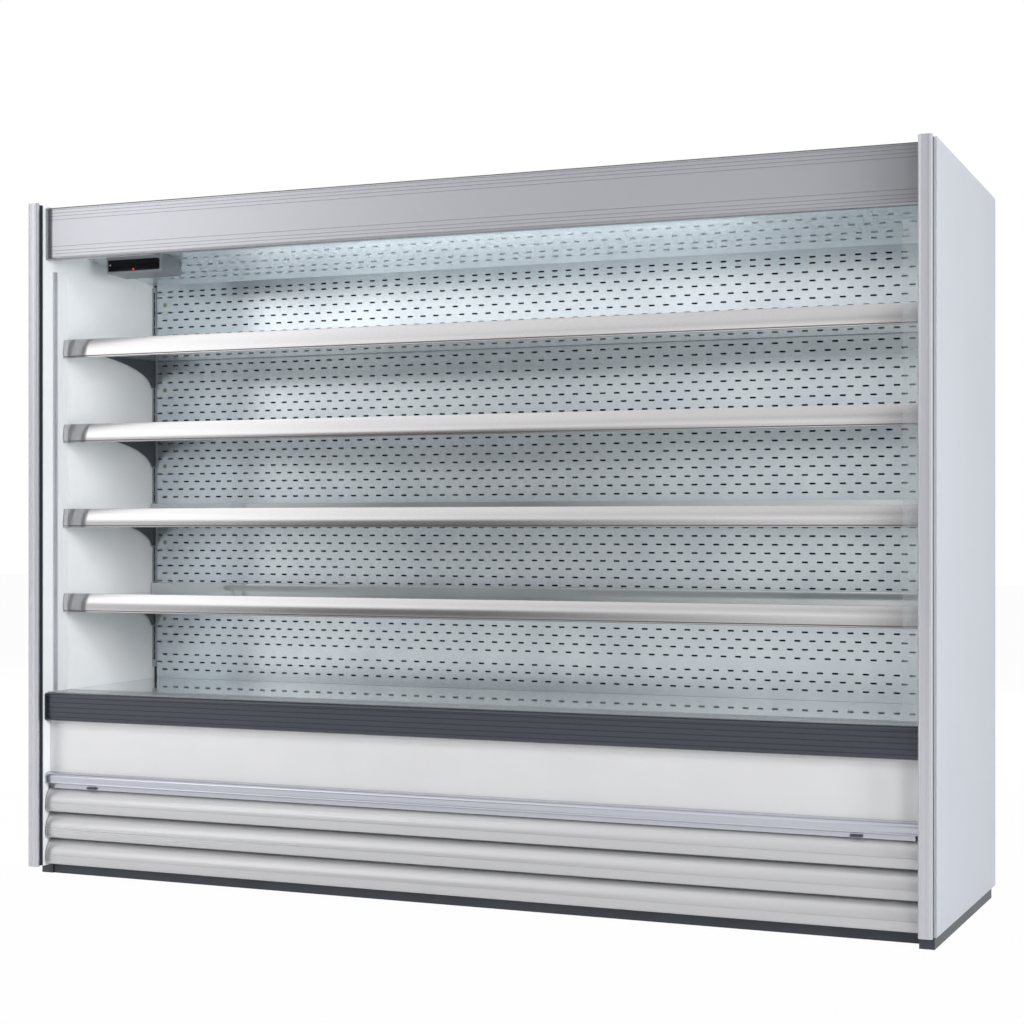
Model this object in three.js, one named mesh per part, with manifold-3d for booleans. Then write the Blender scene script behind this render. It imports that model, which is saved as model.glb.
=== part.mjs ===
import * as THREE from 'three';
import { mergeVertices } from 'three/addons/utils/BufferGeometryUtils.js';
import Module from 'manifold-3d';

// Open multideck display fridge. Millimetres, +Z up, front towards -Y, +X to the viewer's right.
// The origin is the bottom centre of the bounding box.
// Depths are measured back from the front face of the front profiles.

const wasm = await Module();
wasm.setup();

// ---- driving dimensions ----
const innerWidth = 2500;            // between the end panels
const endPanelThickness = 40;
const depth = 793;                  // front profiles to the rear edge of the end panels
const height = 1910;                // floor to the top of the front profiles
const floorClearance = 28;          // floor to the underside of panels and profiles
const fit = 0.3;                    // gap between touching pieces
const sideFit = 0.5;                // gap of full-length pieces to the end panels
const sheet = 1.5;                  // folded sheet metal
const past = 1;                     // how far a cutting tool runs past the face it cuts
const overlap = 1;                  // how far joined lumps of one piece reach into each other

const halfWidth = innerWidth / 2;
const outerHalf = halfWidth + endPanelThickness;
const longHalf = halfWidth - sideFit;
const frontY = -depth / 2;

// front profiles, seals and end panels
const profileWidth = 35;
const profileDepth = 9.5;
const profileRadius = 9;
const sealDepth = 18;
const sealInset = 2;
const sealTopDrop = 4;
const panelFront = profileDepth + sealDepth;
const panelFrontDrop = 2.5;         // profile top to the front corner of the end panel
const panelRearDrop = 35.5;         // profile top to the rear corner of the end panel
const panelRearRadius = 12;

// plinths and kick plate
const plinthFloorGap = 1;
const plinthInset = 3;              // outer face of the end panel to the plinth
const plinthFrontRight = 21;
const plinthFrontLeft = 73;
const rearRecess = 41;              // rear edge of the end panels to the rear of the body
const kickFront = 78;
const kickThickness = 2;
const kickTop = 36;

// canopy, outlet and ceiling
const canopyFront = 38.4;
const canopyTopDrop = 11;
const canopyHeight = 147;
const canopyWall = 3;
const canopyLipDepth = 22;
const canopyLipRadius = 5;
const canopyFlange = 60;
const canopyGroovePitch = 12;
const canopyGrooveDepth = 1.2;
const canopyGrooveWidth = 2.4;
const canopyGrooveCount = 3;        // in the upper and again in the lower group
const canopyTopGroove = 10;
const canopyBottomGroove = 13;
const ceilingSlope = 0.117;
const outletRise = 18.8;            // canopy bottom to the underside of the air outlet
const outletHeight = 20;
const outletRear = 130;
const outletRim = 8;
const outletCells = 24;
const roofDrop = 31;                // canopy top to the roof
const roofThickness = 40;

const canopyTop = height - canopyTopDrop;
const canopyBottom = canopyTop - canopyHeight;
const outletBase = canopyBottom + outletRise;
const roofTop = canopyTop - roofDrop;
const roofBase = roofTop - roofThickness;

// display under the ceiling
const displayLeft = 91;             // left end panel to the display
const displayWidth = 190;
const displayFront = 205;
const displayDepth = 104;
const displayDrop = 24;             // canopy bottom to the display's lower front edge
const displayTilt = 0.04;
const windowMargin = 8;
const windowHeight = 33;
const windowBase = 4.5;
const windowThickness = 2;
const windowRadius = 5;

// bumper, front panel and trim rail
const bumperFront = 33;
const bumperTop = 519.5;
const bumperHeight = 78.5;
const bumperRadius = 8;
const bumperGrooves = [15.5, 32, 50, 66];     // heights above the lower edge
const bumperGrooveDepth = 1.5;
const frontPanelDepth = 59;
const trimBottom = 262;
const trimHeight = 32;
const trimFront = 34;
const trimShoulder = 14;
const trimCrown = 4;                // rounding at the top front of the rail
const trimChamfer = 3;
const frontPanelTuck = 2;           // trim rail's underside to the lower edge of the front panel

// deck, return-air grille and back panels
const returnGrilleFront = 48;
const returnGrilleRear = 156;
const returnGrilleThickness = 2;
const returnGrilleBar = 12;
const returnGrilleCells = 32;
const deckRise = 4.5;
const deckFold = 22;
const deckGap = 1;                  // deck to the back panel
const backPanelFront = 581;
const backPanelFold = 18;
const lowerPanelHeight = 926;
const returnGrilleBase = bumperTop + fit;
const returnGrilleTop = returnGrilleBase + returnGrilleThickness;
const deckFrontHeight = returnGrilleTop - fit;
const deckRearHeight = deckFrontHeight + deckRise;

// racks
const rackWidth = 15;
const rackDepth = 15;
const rackWall = 2;
const rackProud = 3;                // rack face in front of the back panels
const rackAboveDeck = 34;
const rackTopGap = 8;
const rackFirstSlot = 22.1;         // rack bottom to its first slot
const rackPitch = 27.1;
const slotHeight = 24;
const slotWidth = 5;
const rackFront = backPanelFront - rackProud;
const rackBottom = deckRearHeight + rackAboveDeck;

// shelves
const shelfCount = 4;
const lowestShelfSlot = 7;
const slotsPerShelf = 9;
const shelfEndGap = 3;
const railFront = 117.5;
const railHeight = 47;
const railDepth = 12;
const railBulge = 6;
const railLip = 7;
const trayDrop = 9;                 // price rail top to the tray surface
const trayThickness = 20;
const trayRearGap = 8;              // tray to the rack face
const upstandHeight = 28;
const bracketThickness = 3;
const bracketInset = 6.5;           // end panel to the outer face of a bracket
const bracketFront = 177;
const bracketDrop = 83;             // tray underside to the bracket tip
const bracketToe = 12;
const bracketSteps = 10;            // facets of the curved edge
const beamDepth = 30;
const hookTongue = 10;
const hookLug = 8;
const hookThickness = 4;
const trayRear = rackFront - trayRearGap;
const shelfHalf = halfWidth - shelfEndGap;

// lower grille
const slatCount = 3;
const slatTopDrop = 7;              // trim rail to the top slat
const slatBase = 33.4;
const slatGap = 1.3;
const slatFront = 34;
const slatRear = 76;
const slatWall = 2.5;
const slatBulge = 21;               // lower edge of a slat to its foremost line
const slatLip = 15;
const slatFootRise = 13;            // lower edge to the start of the fold
const slatFoldDepth = 7;
const slatFoldRise = 3;
const slatEndGap = 4;
const slatSteps = 8;                // facets of the curved face
const slatTop = trimBottom - slatTopDrop;
const slatPitch = (slatTop - slatBase + slatGap) / slatCount;
const slatHeight = slatPitch - slatGap;
const grilleBarWidth = 20;
const grilleBarThickness = 8;
const grilleRailHeight = 10;
const grilleBase = 40;
const grilleTopGap = 1.5;           // below the trim rail
const grilleFlangeFront = 45;
const grilleFlangeHeight = 11.5;
const grilleFlangeWall = 2;
const grilleInnerBar = 417;
const grillePinRadius = 2.5;
const grillePinAbove = 3;           // lower edge of the grille to its pins
const grillePinLength = 10;
const grilleEarGap = 2;
const grilleEarWidth = 5;
const grilleEarRise = 5;            // pin to the top of its ear
const grilleEarDrop = 1;            // lower edge of the grille to the underside of its ears
const grilleBarFront = slatRear + fit;
const grilleBarRear = grilleBarFront + grilleBarThickness;
const grillePinDepth = (grilleBarFront + grilleBarRear) / 2;
const grillePinHeight = grilleBase + grillePinAbove;
const grilleTop = trimBottom - grilleTopGap;
const grilleHalf = halfWidth - slatEndGap - grilleBarWidth / 2;
const catchInset = 155;
const catchHalf = 15;
const catchHeight = 6;
const catchThickness = 3;
const catchStemHalf = 4;
const catchStemLength = 14;
const catchRise = 2;                // lower edge of the flange to the catch
const catchTravel = 3;

// insulation and base
const wallThickness = 36;
const tubAboveTrim = 8;
const rearWallThickness = 60;
const panBase = 30;
const panWall = 4;
const panFlange = 30;
const panFront = 95;
const panInset = 1;                 // full-length pieces to the ends of the pan
const machineHeadroom = 12;         // machinery to the tub
const postSize = 40;
const ventWidth = 200;
const ventHeight = 14;
const ventPitch = 30;
const ventRows = 4;
const ventColumns = 6;
const ventRise = 60;                // pan to the lowest vents
const bodyRear = depth - rearRecess;
const rearWallFront = bodyRear - rearWallThickness;
const tubBase = trimBottom + tubAboveTrim;
const tubInside = tubBase + wallThickness;
const panTop = panBase + panWall;
const machineFloor = panTop + fit;
const machineTop = tubBase - machineHeadroom;
const baseHalf = longHalf - panInset;

// wings
const wingFront = 71;
const wingThickness = 4;
const wingWidth = 50;
const wingTopGap = 30;              // canopy bottom to the top of a wing

// fans
const hubRadius = 24;
const hubLength = 26;
const shaftRadius = 4;
const motorRadius = 32;
const motorLength = 50;
const motorGap = 6;                 // hub to motor
const shaftSeat = 20;               // how far a rotor's shaft reaches into its motor
const motorArmHeight = 10;
const motorArmThickness = 6;
const bladeCount = 5;
const bladeTilt = 0.6;
const bladeThickness = 3;
const bladeTipInset = 2;
const bladeRoot = 6;                // how far a blade reaches into the hub
const tipGap = 4;
const fanPlateWall = 8;
const evaporatorFanRadius = 84;
const evaporatorFanX = 600;
const evaporatorFanDepth = 290;
const evaporatorBladeChord = 38;
const fanHoleRise = 8;              // lower edge of the fan plate to its round holes
const evaporatorFanZ = tubInside + fit + fanHoleRise + evaporatorFanRadius + tipGap;

// coil, condenser, compressor and electrical box
const coilHalf = 1080;
const coilFront = 410;
const coilRear = 610;
const coilHeight = 130;
const coilFins = 30;
const coilSlotWidth = 8;
const coilSlotDepth = 100;
const condenserX = 560;
const condenserHalf = 230;
const condenserFront = 120;
const condenserDepth = 60;
const condenserFins = 16;
const condenserSlotWidth = 6;
const condenserSlotDepth = 25;
const condenserFanRadius = 90;
const condenserBladeChord = 40;
const condenserFanGap = 40;         // condenser block to the fan's middle
const condenserFanDepth = condenserFront + condenserDepth + condenserFanGap;
const condenserFanZ = (machineFloor + machineTop) / 2;
const compressorX = -120;
const compressorDepth = 400;
const compressorRadius = 92;
const compressorHeight = 178;
const compressorPlateHalf = 110;
const compressorPlateThickness = 14;
const compressorPlateInset = 10;    // shell to the plate's front and rear edges
const shellFoot = 22;               // how far the shell draws in at the foot plate
const shellSeat = 2;                // how far the shell sits into the foot plate
const shellShoulder = 48;
const domeHeight = 58;
const domeInset = 42;
const lineRadius = 6;
const lineSides = 8;
const lineSteps = 12;
const lineRoot = 20;                // how far a line reaches into the shell
const lineReach = 60;               // straight ends and side steps of the lines
const lineRise = 20;
const boxFromEnd = 470;             // middle of the box to the inner face of the left end panel
const boxX = boxFromEnd - halfWidth;
const boxHalf = 150;
const boxFront = 112;
const boxDepth = 120;
const boxHeight = 180;
const glandRadius = 10;
const glandBore = 5;
const glandLength = 18;
const glandFloor = 2;
const switchOffset = 100;
const switchHeight = 116;           // machine floor to the middle of the switch
const rockerHalfWidth = 9;
const rockerHalfHeight = 14;
const rockerProud = 4;
const rockerPinDepth = 5;
const rockerPinRadius = 2;
const rockerTail = 6;               // pin to the rear of the rocker
const rockerTailHalf = 4;
const pocketDepth = 15;
const rockerClearance = 2;
const switchX = boxX + switchOffset;
const switchZ = machineFloor + switchHeight;

// levelling feet
const footRadius = 30;
const footPad = 6;
const footTaper = 10;
const footNeckRadius = 12;
const footStemRadius = 6;
const footStemTop = 26;             // above the pan
const footBoss = 10;
const footBossWall = 5;
const footInset = 120;              // end panel to the foot
const footFrontInset = 70;          // front of the pan to the front feet
const footRearInset = 72;           // rear of the body to the rear feet

// ---- materials ----
function finish(color, roughness, metalness, opacity = 1) {
  return new THREE.MeshStandardMaterial({ color, roughness, metalness, opacity, transparent: opacity < 1 });
}
const whitePaint = () => finish(0xd5dae1, 0.4, 0.1);
const brightSheet = () => finish(0xc3ccd3, 0.25, 0.7);
const anodised = () => finish(0xc9cbd3, 0.3, 0.8);
const satinRail = () => finish(0xdcdcde, 0.3, 0.3);
const darkRubber = () => finish(0x3a4049, 0.7, 0);
const darkPlastic = () => finish(0x3d424b, 0.55, 0);
const blueGrey = () => finish(0x5a5f69, 0.45, 0.2);
const darkSteel = () => finish(0x6b6c72, 0.4, 0.6);
const foamPanel = () => finish(0xb9bfc6, 0.5, 0.2);
const galvanised = () => finish(0x9aa0a6, 0.45, 0.7);
const blackGloss = () => finish(0x0c0c0e, 0.1, 0);
const clearAcrylic = () => finish(0xdfe8ec, 0.05, 0, 0.35);

// ---- helpers ----
const group = new THREE.Group();
const sides = [['left', -1], ['right', 1]];
const sectionTurn = new THREE.Matrix4().makeBasis(
  new THREE.Vector3(0, 1, 0), new THREE.Vector3(0, 0, 1), new THREE.Vector3(1, 0, 0));
const faceTurn = new THREE.Matrix4().makeBasis(
  new THREE.Vector3(1, 0, 0), new THREE.Vector3(0, 0, 1), new THREE.Vector3(0, -1, 0));

function outline(points) {
  const shape = new THREE.Shape();
  points.forEach(([u, v], i) => (i ? shape.lineTo(u, v) : shape.moveTo(u, v)));
  shape.closePath();
  return shape;
}

function extrude(shape, length, curveSegments = 6) {
  return new THREE.ExtrudeGeometry(shape, { depth: length, bevelEnabled: false, curveSegments });
}

// a section drawn in depth and height, drawn out from x0 to x1
function sectionAlongX(shape, x0, x1, curveSegments) {
  const geometry = extrude(shape, x1 - x0, curveSegments);
  geometry.applyMatrix4(sectionTurn);
  geometry.translate(x0, frontY, 0);
  return geometry;
}

// a face drawn in width and height, from depth d0 back to depth d1
function faceAlongY(shape, d0, d1, curveSegments) {
  const geometry = extrude(shape, d1 - d0, curveSegments);
  geometry.applyMatrix4(faceTurn);
  geometry.translate(0, frontY + d1, 0);
  return geometry;
}

// a plan drawn in width and depth, from height z0 to z1
function planUp(shape, z0, z1, curveSegments) {
  const geometry = extrude(shape, z1 - z0, curveSegments);
  geometry.translate(0, frontY, z0);
  return geometry;
}

function block(x0, x1, d0, d1, z0, z1) {
  const geometry = new THREE.BoxGeometry(x1 - x0, d1 - d0, z1 - z0);
  geometry.translate((x0 + x1) / 2, frontY + (d0 + d1) / 2, (z0 + z1) / 2);
  return geometry;
}

// a block given by its middle and half width along X
function blockAt(x, half, d0, d1, z0, z1) {
  return block(x - half, x + half, d0, d1, z0, z1);
}

// rods along the three axes, at a depth d and height z
function rodAlongX(radius, x0, x1, d, z, segments = 12) {
  const geometry = new THREE.CylinderGeometry(radius, radius, x1 - x0, segments);
  geometry.rotateZ(Math.PI / 2);
  geometry.translate((x0 + x1) / 2, frontY + d, z);
  return geometry;
}

function rodAlongY(radius, x, d0, d1, z, segments = 20) {
  const geometry = new THREE.CylinderGeometry(radius, radius, d1 - d0, segments);
  geometry.translate(x, frontY + (d0 + d1) / 2, z);
  return geometry;
}

function rodUp(radius, x, d, z0, z1, segments = 16) {
  const geometry = new THREE.CylinderGeometry(radius, radius, z1 - z0, segments);
  geometry.rotateX(Math.PI / 2);
  geometry.translate(x, frontY + d, (z0 + z1) / 2);
  return geometry;
}

function solid(geometry) {
  const bare = geometry.clone();
  bare.deleteAttribute('normal');
  bare.deleteAttribute('uv');
  const merged = mergeVertices(bare, 1e-4);
  const vertProperties = new Float32Array(merged.attributes.position.array);
  const triVerts = new Uint32Array(merged.index.array);
  return new wasm.Manifold(new wasm.Mesh({ numProp: 3, vertProperties, triVerts }));
}

function geometryOf(manifold) {
  const mesh = manifold.getMesh();
  const geometry = new THREE.BufferGeometry();
  geometry.setAttribute('position', new THREE.BufferAttribute(new Float32Array(mesh.vertProperties), 3));
  geometry.setIndex(new THREE.BufferAttribute(new Uint32Array(mesh.triVerts), 1));
  geometry.computeVertexNormals();
  return geometry;
}

function joined(first, ...others) {
  return geometryOf(others.reduce((whole, other) => whole.add(solid(other)), solid(first)));
}

function cut(first, ...others) {
  return geometryOf(others.reduce((whole, other) => whole.subtract(solid(other)), solid(first)));
}

function addPart(name, geometry, material) {
  const mesh = new THREE.Mesh(geometry, material);
  mesh.name = name;
  group.add(mesh);
}

// x range between two distances from the middle, on the left or the right
function spanOf(side, inner, outer) {
  return side < 0 ? [-outer, -inner] : [inner, outer];
}

// outline of an upright face from the bottom up, with a small V groove at each height
function groovedFace(front, heights, grooveDepth, grooveWidth) {
  return heights.flatMap((z) => [
    [front, z - grooveWidth / 2],
    [front + grooveDepth, z],
    [front, z + grooveWidth / 2],
  ]);
}

// ---- end walls ----
function frontProfile(side) {
  const [x0, x1] = spanOf(side, halfWidth, halfWidth + profileWidth);
  const r = profileRadius;
  const shape = new THREE.Shape();
  shape.moveTo(x0, profileDepth);
  shape.lineTo(x0, r);
  shape.absarc(x0 + r, r, r, Math.PI, Math.PI * 1.5, false);
  shape.absarc(x1 - r, r, r, Math.PI * 1.5, Math.PI * 2, false);
  shape.lineTo(x1, profileDepth);
  shape.closePath();
  return planUp(shape, floorClearance, height, 6);
}

function sealStrip(side) {
  const [x0, x1] = spanOf(side, halfWidth + sealInset, halfWidth + profileWidth - sealInset);
  return block(x0, x1, profileDepth + fit, panelFront - fit,
    floorClearance + sealInset, height - sealTopDrop);
}

function endPanel(side) {
  const [x0, x1] = spanOf(side, halfWidth, outerHalf);
  const rearTop = height - panelRearDrop;
  const r = panelRearRadius;
  const shape = new THREE.Shape();
  shape.moveTo(panelFront, floorClearance);
  shape.lineTo(depth, floorClearance);
  shape.lineTo(depth, rearTop - r);
  shape.quadraticCurveTo(depth, rearTop, depth - r, rearTop);
  shape.lineTo(panelFront, height - panelFrontDrop);
  shape.closePath();
  return sectionAlongX(shape, x0, x1, 4);
}

function sidePlinth(side) {
  const front = side < 0 ? plinthFrontLeft : plinthFrontRight;
  const [x0, x1] = spanOf(side, halfWidth, outerHalf - plinthInset);
  return block(x0, x1, front, bodyRear, plinthFloorGap, floorClearance - fit);
}

sides.forEach(([name, side]) => {
  addPart(`end_panel_${name}`, endPanel(side), whitePaint());
  addPart(`front_profile_${name}`, frontProfile(side), anodised());
  addPart(`seal_strip_${name}`, sealStrip(side), darkRubber());
  addPart(`side_plinth_${name}`, sidePlinth(side), darkPlastic());
});
addPart('kick_plate', blockAt(0, halfWidth - fit, kickFront, kickFront + kickThickness,
  plinthFloorGap, kickTop), darkPlastic());

// ---- canopy, roof, ceiling and display ----
function ceilingHeight(d) {
  return outletBase + outletHeight - ceilingSlope * (d - outletRear);
}

function canopyFascia() {
  const steps = Array.from({ length: canopyGrooveCount }, (_, i) => i * canopyGroovePitch);
  const lower = steps.map((step) => canopyBottom + canopyBottomGroove + step);
  const upper = steps.map((step) => canopyTop - canopyTopGroove - step).reverse();
  const inner = canopyFront + canopyWall;
  const lipRear = canopyFront + canopyLipDepth;
  const flangeRear = canopyFront + canopyFlange;
  const r = canopyLipRadius;
  const shape = new THREE.Shape();
  shape.moveTo(lipRear, canopyBottom);
  shape.lineTo(canopyFront + r, canopyBottom);
  shape.absarc(canopyFront + r, canopyBottom + r, r, -Math.PI / 2, -Math.PI, true);
  groovedFace(canopyFront, [...lower, ...upper], canopyGrooveDepth, canopyGrooveWidth)
    .forEach(([d, z]) => shape.lineTo(d, z));
  [
    [canopyFront, canopyTop],
    [flangeRear, canopyTop],
    [flangeRear, canopyTop - canopyWall],
    [inner, canopyTop - canopyWall],
    [inner, canopyBottom + r],
    [inner + r - canopyWall, canopyBottom + canopyWall],
    [lipRear - canopyWall, canopyBottom + canopyWall],
    [lipRear - canopyWall, outletBase - fit],
    [lipRear, outletBase - fit],
  ].forEach(([d, z]) => shape.lineTo(d, z));
  shape.closePath();
  return sectionAlongX(shape, -longHalf, longHalf, 4);
}

// honeycomb outlet: a frame with a row of open cells between the canopy lip and the ceiling
function airOutlet() {
  const frontEdge = canopyFront + canopyWall + fit;
  const cellFront = canopyFront + canopyLipDepth + outletRim;
  const pitch = (2 * longHalf - outletRim) / outletCells;
  const cells = Array.from({ length: outletCells }, (_, i) => {
    const x0 = -longHalf + outletRim + i * pitch;
    return block(x0, x0 + pitch - outletRim, cellFront, outletRear - outletRim,
      outletBase - past, outletBase + outletHeight + past);
  });
  return cut(blockAt(0, longHalf, frontEdge, outletRear, outletBase, outletBase + outletHeight), ...cells);
}

function ceilingSheet() {
  const front = outletRear + fit;
  const rear = backPanelFront - fit;
  return sectionAlongX(outline([
    [front, outletBase],
    [front + sheet, outletBase],
    [front + sheet, ceilingHeight(front + sheet)],
    [rear, ceilingHeight(rear)],
    [rear, ceilingHeight(rear) + sheet],
    [front, ceilingHeight(front) + sheet],
  ]), -longHalf, longHalf);
}

function displayHousing() {
  const x0 = -halfWidth + displayLeft;
  const rear = displayFront + displayDepth;
  const base = canopyBottom - displayDrop;
  return sectionAlongX(outline([
    [displayFront, base],
    [rear, base - displayTilt * displayDepth],
    [rear, ceilingHeight(rear) - fit],
    [displayFront, ceilingHeight(displayFront) - fit],
  ]), x0, x0 + displayWidth);
}

function displayWindow() {
  const x0 = -halfWidth + displayLeft + windowMargin;
  const x1 = x0 + displayWidth - 2 * windowMargin;
  const z0 = canopyBottom - displayDrop + windowBase;
  const z1 = z0 + windowHeight;
  const r = windowRadius;
  const shape = new THREE.Shape();
  shape.moveTo(x0 + r, z0);
  shape.lineTo(x1 - r, z0);
  shape.absarc(x1 - r, z0 + r, r, -Math.PI / 2, 0, false);
  shape.absarc(x1 - r, z1 - r, r, 0, Math.PI / 2, false);
  shape.absarc(x0 + r, z1 - r, r, Math.PI / 2, Math.PI, false);
  shape.absarc(x0 + r, z0 + r, r, Math.PI, Math.PI * 1.5, false);
  return faceAlongY(shape, displayFront - fit - windowThickness, displayFront - fit, 4);
}

addPart('canopy_fascia', canopyFascia(), anodised());
addPart('air_outlet', airOutlet(), foamPanel());
addPart('ceiling_sheet', ceilingSheet(), brightSheet());
addPart('roof_panel', blockAt(0, longHalf, canopyFront + canopyWall + fit, bodyRear,
  roofBase, roofTop), foamPanel());
addPart('display_housing', displayHousing(), darkSteel());
addPart('display_window', displayWindow(), blackGloss());

// ---- insulated shell and back panels ----
function insulatedTub() {
  const front = frontPanelDepth + sheet + fit;
  return sectionAlongX(outline([
    [front, tubBase],
    [rearWallFront - fit, tubBase],
    [rearWallFront - fit, tubInside],
    [front + wallThickness, tubInside],
    [front + wallThickness, bumperTop],
    [front, bumperTop],
  ]), -longHalf, longHalf);
}

// a back panel is a sheet whose upper and lower edges fold back towards the rear wall
function backPanel(z0, z1) {
  const front = backPanelFront;
  const folded = front + backPanelFold;
  const half = halfWidth - rackWidth - 2 * fit;
  return sectionAlongX(outline([
    [front, z0], [folded, z0], [folded, z0 + sheet], [front + sheet, z0 + sheet],
    [front + sheet, z1 - sheet], [folded, z1 - sheet], [folded, z1], [front, z1],
  ]), -half, half);
}

const lowerPanelBase = deckRearHeight + fit;
const lowerPanelTop = lowerPanelBase + lowerPanelHeight;
addPart('rear_wall', blockAt(0, longHalf, rearWallFront, bodyRear, tubBase, roofBase - fit), foamPanel());
addPart('insulated_tub', insulatedTub(), foamPanel());
addPart('back_panel_lower', backPanel(lowerPanelBase, lowerPanelTop), brightSheet());
addPart('back_panel_upper', backPanel(lowerPanelTop + fit, ceilingHeight(backPanelFront)), brightSheet());

// ---- racks ----
const rackTop = ceilingHeight(rackFront) - rackTopGap;
const hookX = halfWidth - bracketInset - bracketThickness / 2;

// lower edge of a rack slot, counted up from the deck
function slotBase(index) {
  return rackBottom + rackFirstSlot + index * rackPitch;
}

function rackStrip(side) {
  const [x0, x1] = spanOf(side, halfWidth - fit - rackWidth, halfWidth - fit);
  const rear = rackFront + rackDepth;
  const channel = outline([
    [x0, rackFront], [x1, rackFront], [x1, rear], [x1 - rackWall, rear],
    [x1 - rackWall, rackFront + rackWall], [x0 + rackWall, rackFront + rackWall],
    [x0 + rackWall, rear], [x0, rear]]);
  const count = Math.floor((rackTop - rackWall - slotHeight - slotBase(0)) / rackPitch) + 1;
  const slots = Array.from({ length: count }, (_, i) => blockAt(side * hookX, slotWidth / 2,
    rackFront - past, rackFront + rackWall + past, slotBase(i), slotBase(i) + slotHeight));
  return cut(planUp(channel, rackBottom, rackTop), ...slots);
}

sides.forEach(([name, side]) => addPart(`rack_${name}`, rackStrip(side), galvanised()));

// ---- shelves ----
// the slot that the upper hooks of a shelf hang in, shelf 0 being the highest
function shelfSlot(index) {
  return lowestShelfSlot + (shelfCount - 1 - index) * slotsPerShelf;
}

function priceRail(top) {
  const front = railFront;
  const base = top - railHeight;
  const bend = front + railBulge;
  const shape = new THREE.Shape();
  shape.moveTo(front + railDepth, top);
  shape.lineTo(bend, top);
  shape.quadraticCurveTo(front, top, front, top - railHeight / 3);
  shape.quadraticCurveTo(front, base, bend, base);
  shape.lineTo(bend, base - railLip);
  shape.lineTo(front + railDepth, base - railLip);
  shape.closePath();
  return sectionAlongX(shape, -shelfHalf, shelfHalf, 6);
}

// folded sheet: rear upstand, top, front fold and underside, open at the rear
function shelfTray(top) {
  const surface = top - trayDrop;
  const under = surface - trayThickness;
  const front = railFront + railDepth + fit;
  const rear = trayRear;
  return sectionAlongX(outline([
    [front, surface],
    [rear - sheet, surface],
    [rear - sheet, surface + upstandHeight],
    [rear, surface + upstandHeight],
    [rear, surface - sheet],
    [front + sheet, surface - sheet],
    [front + sheet, under + sheet],
    [rear - sheet, under + sheet],
    [rear - sheet, under],
    [front, under],
  ]), -shelfHalf, shelfHalf);
}

// side view of a bracket: flat top, quarter ellipse below and an upright rear edge
function bracketSide(under, tip, plateTop) {
  const rear = rackFront - fit;
  const toe = rear - bracketToe;
  const points = [[bracketFront, under]];
  for (let i = 1; i <= bracketSteps; i += 1) {
    const angle = (i / bracketSteps) * (Math.PI / 2);
    points.push([
      bracketFront + (toe - bracketFront) * Math.sin(angle),
      tip + (under - tip) * Math.cos(angle),
    ]);
  }
  points.push([rear, tip + bracketToe / 2], [rear, plateTop]);
  points.push([trayRear + fit, plateTop], [trayRear + fit, under]);
  return outline(points);
}

// two curved brackets with rack hooks, joined by a flat beam inside the folded tray
function shelfFrame(top, slot) {
  const trayTop = top - trayDrop - sheet - fit;
  const under = top - trayDrop - trayThickness - fit;
  const side = bracketSide(under, under - bracketDrop, trayTop);
  const lugFront = rackFront + rackWall + fit;
  const lugRear = lugFront + hookThickness;
  const half = bracketThickness / 2;
  const pieces = [-hookX, hookX].flatMap((x) => [
    sectionAlongX(side, x - half, x + half),
    ...[slot, slot - 2].flatMap((index) => {
      const seat = slotBase(index) + fit;
      return [
        blockAt(x, half, rackFront - overlap, lugRear, seat, seat + hookTongue),
        blockAt(x, half, lugFront, lugRear, seat - hookLug, seat + hookTongue),
      ];
    }),
  ]);
  const beam = blockAt(0, hookX, trayRear - beamDepth, trayRear + bracketThickness,
    under + sheet + 2 * fit, trayTop);
  return joined(beam, ...pieces);
}

for (let i = 0; i < shelfCount; i += 1) {
  const slot = shelfSlot(i);
  const top = slotBase(slot) + trayThickness + trayDrop;
  addPart(`price_rail_${i + 1}`, priceRail(top), satinRail());
  addPart(`shelf_tray_${i + 1}`, shelfTray(top), brightSheet());
  addPart(`shelf_frame_${i + 1}`, shelfFrame(top, slot), darkSteel());
}

// ---- deck and return-air grille ----
// the deck's rear corners are notched, so that it lifts past the racks
function deckPan() {
  const front = returnGrilleRear + fit;
  const rear = backPanelFront - deckGap;
  const pan = sectionAlongX(outline([
    [front, deckFrontHeight],
    [front, deckFrontHeight - deckFold],
    [front + sheet, deckFrontHeight - deckFold],
    [front + sheet, deckFrontHeight - sheet],
    [rear, deckRearHeight - sheet],
    [rear, deckRearHeight],
  ]), -baseHalf, baseHalf);
  const corners = sides.map(([, side]) => {
    const [x0, x1] = spanOf(side, halfWidth - rackWidth - 2 * fit, baseHalf + past);
    return block(x0, x1, rackFront - deckGap, rear + past,
      deckFrontHeight - deckFold, deckRearHeight + past);
  });
  return cut(pan, ...corners);
}

function returnGrille() {
  const bar = returnGrilleBar;
  const pitch = (2 * baseHalf - bar) / returnGrilleCells;
  const cells = Array.from({ length: returnGrilleCells }, (_, i) => {
    const x0 = -baseHalf + bar + i * pitch;
    return block(x0, x0 + pitch - bar, returnGrilleFront + bar, returnGrilleRear - bar,
      returnGrilleBase - past, returnGrilleTop + past);
  });
  const plate = blockAt(0, baseHalf, returnGrilleFront, returnGrilleRear, returnGrilleBase, returnGrilleTop);
  return cut(plate, ...cells);
}

addPart('deck_pan', deckPan(), brightSheet());
addPart('return_air_grille', returnGrille(), galvanised());

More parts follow.
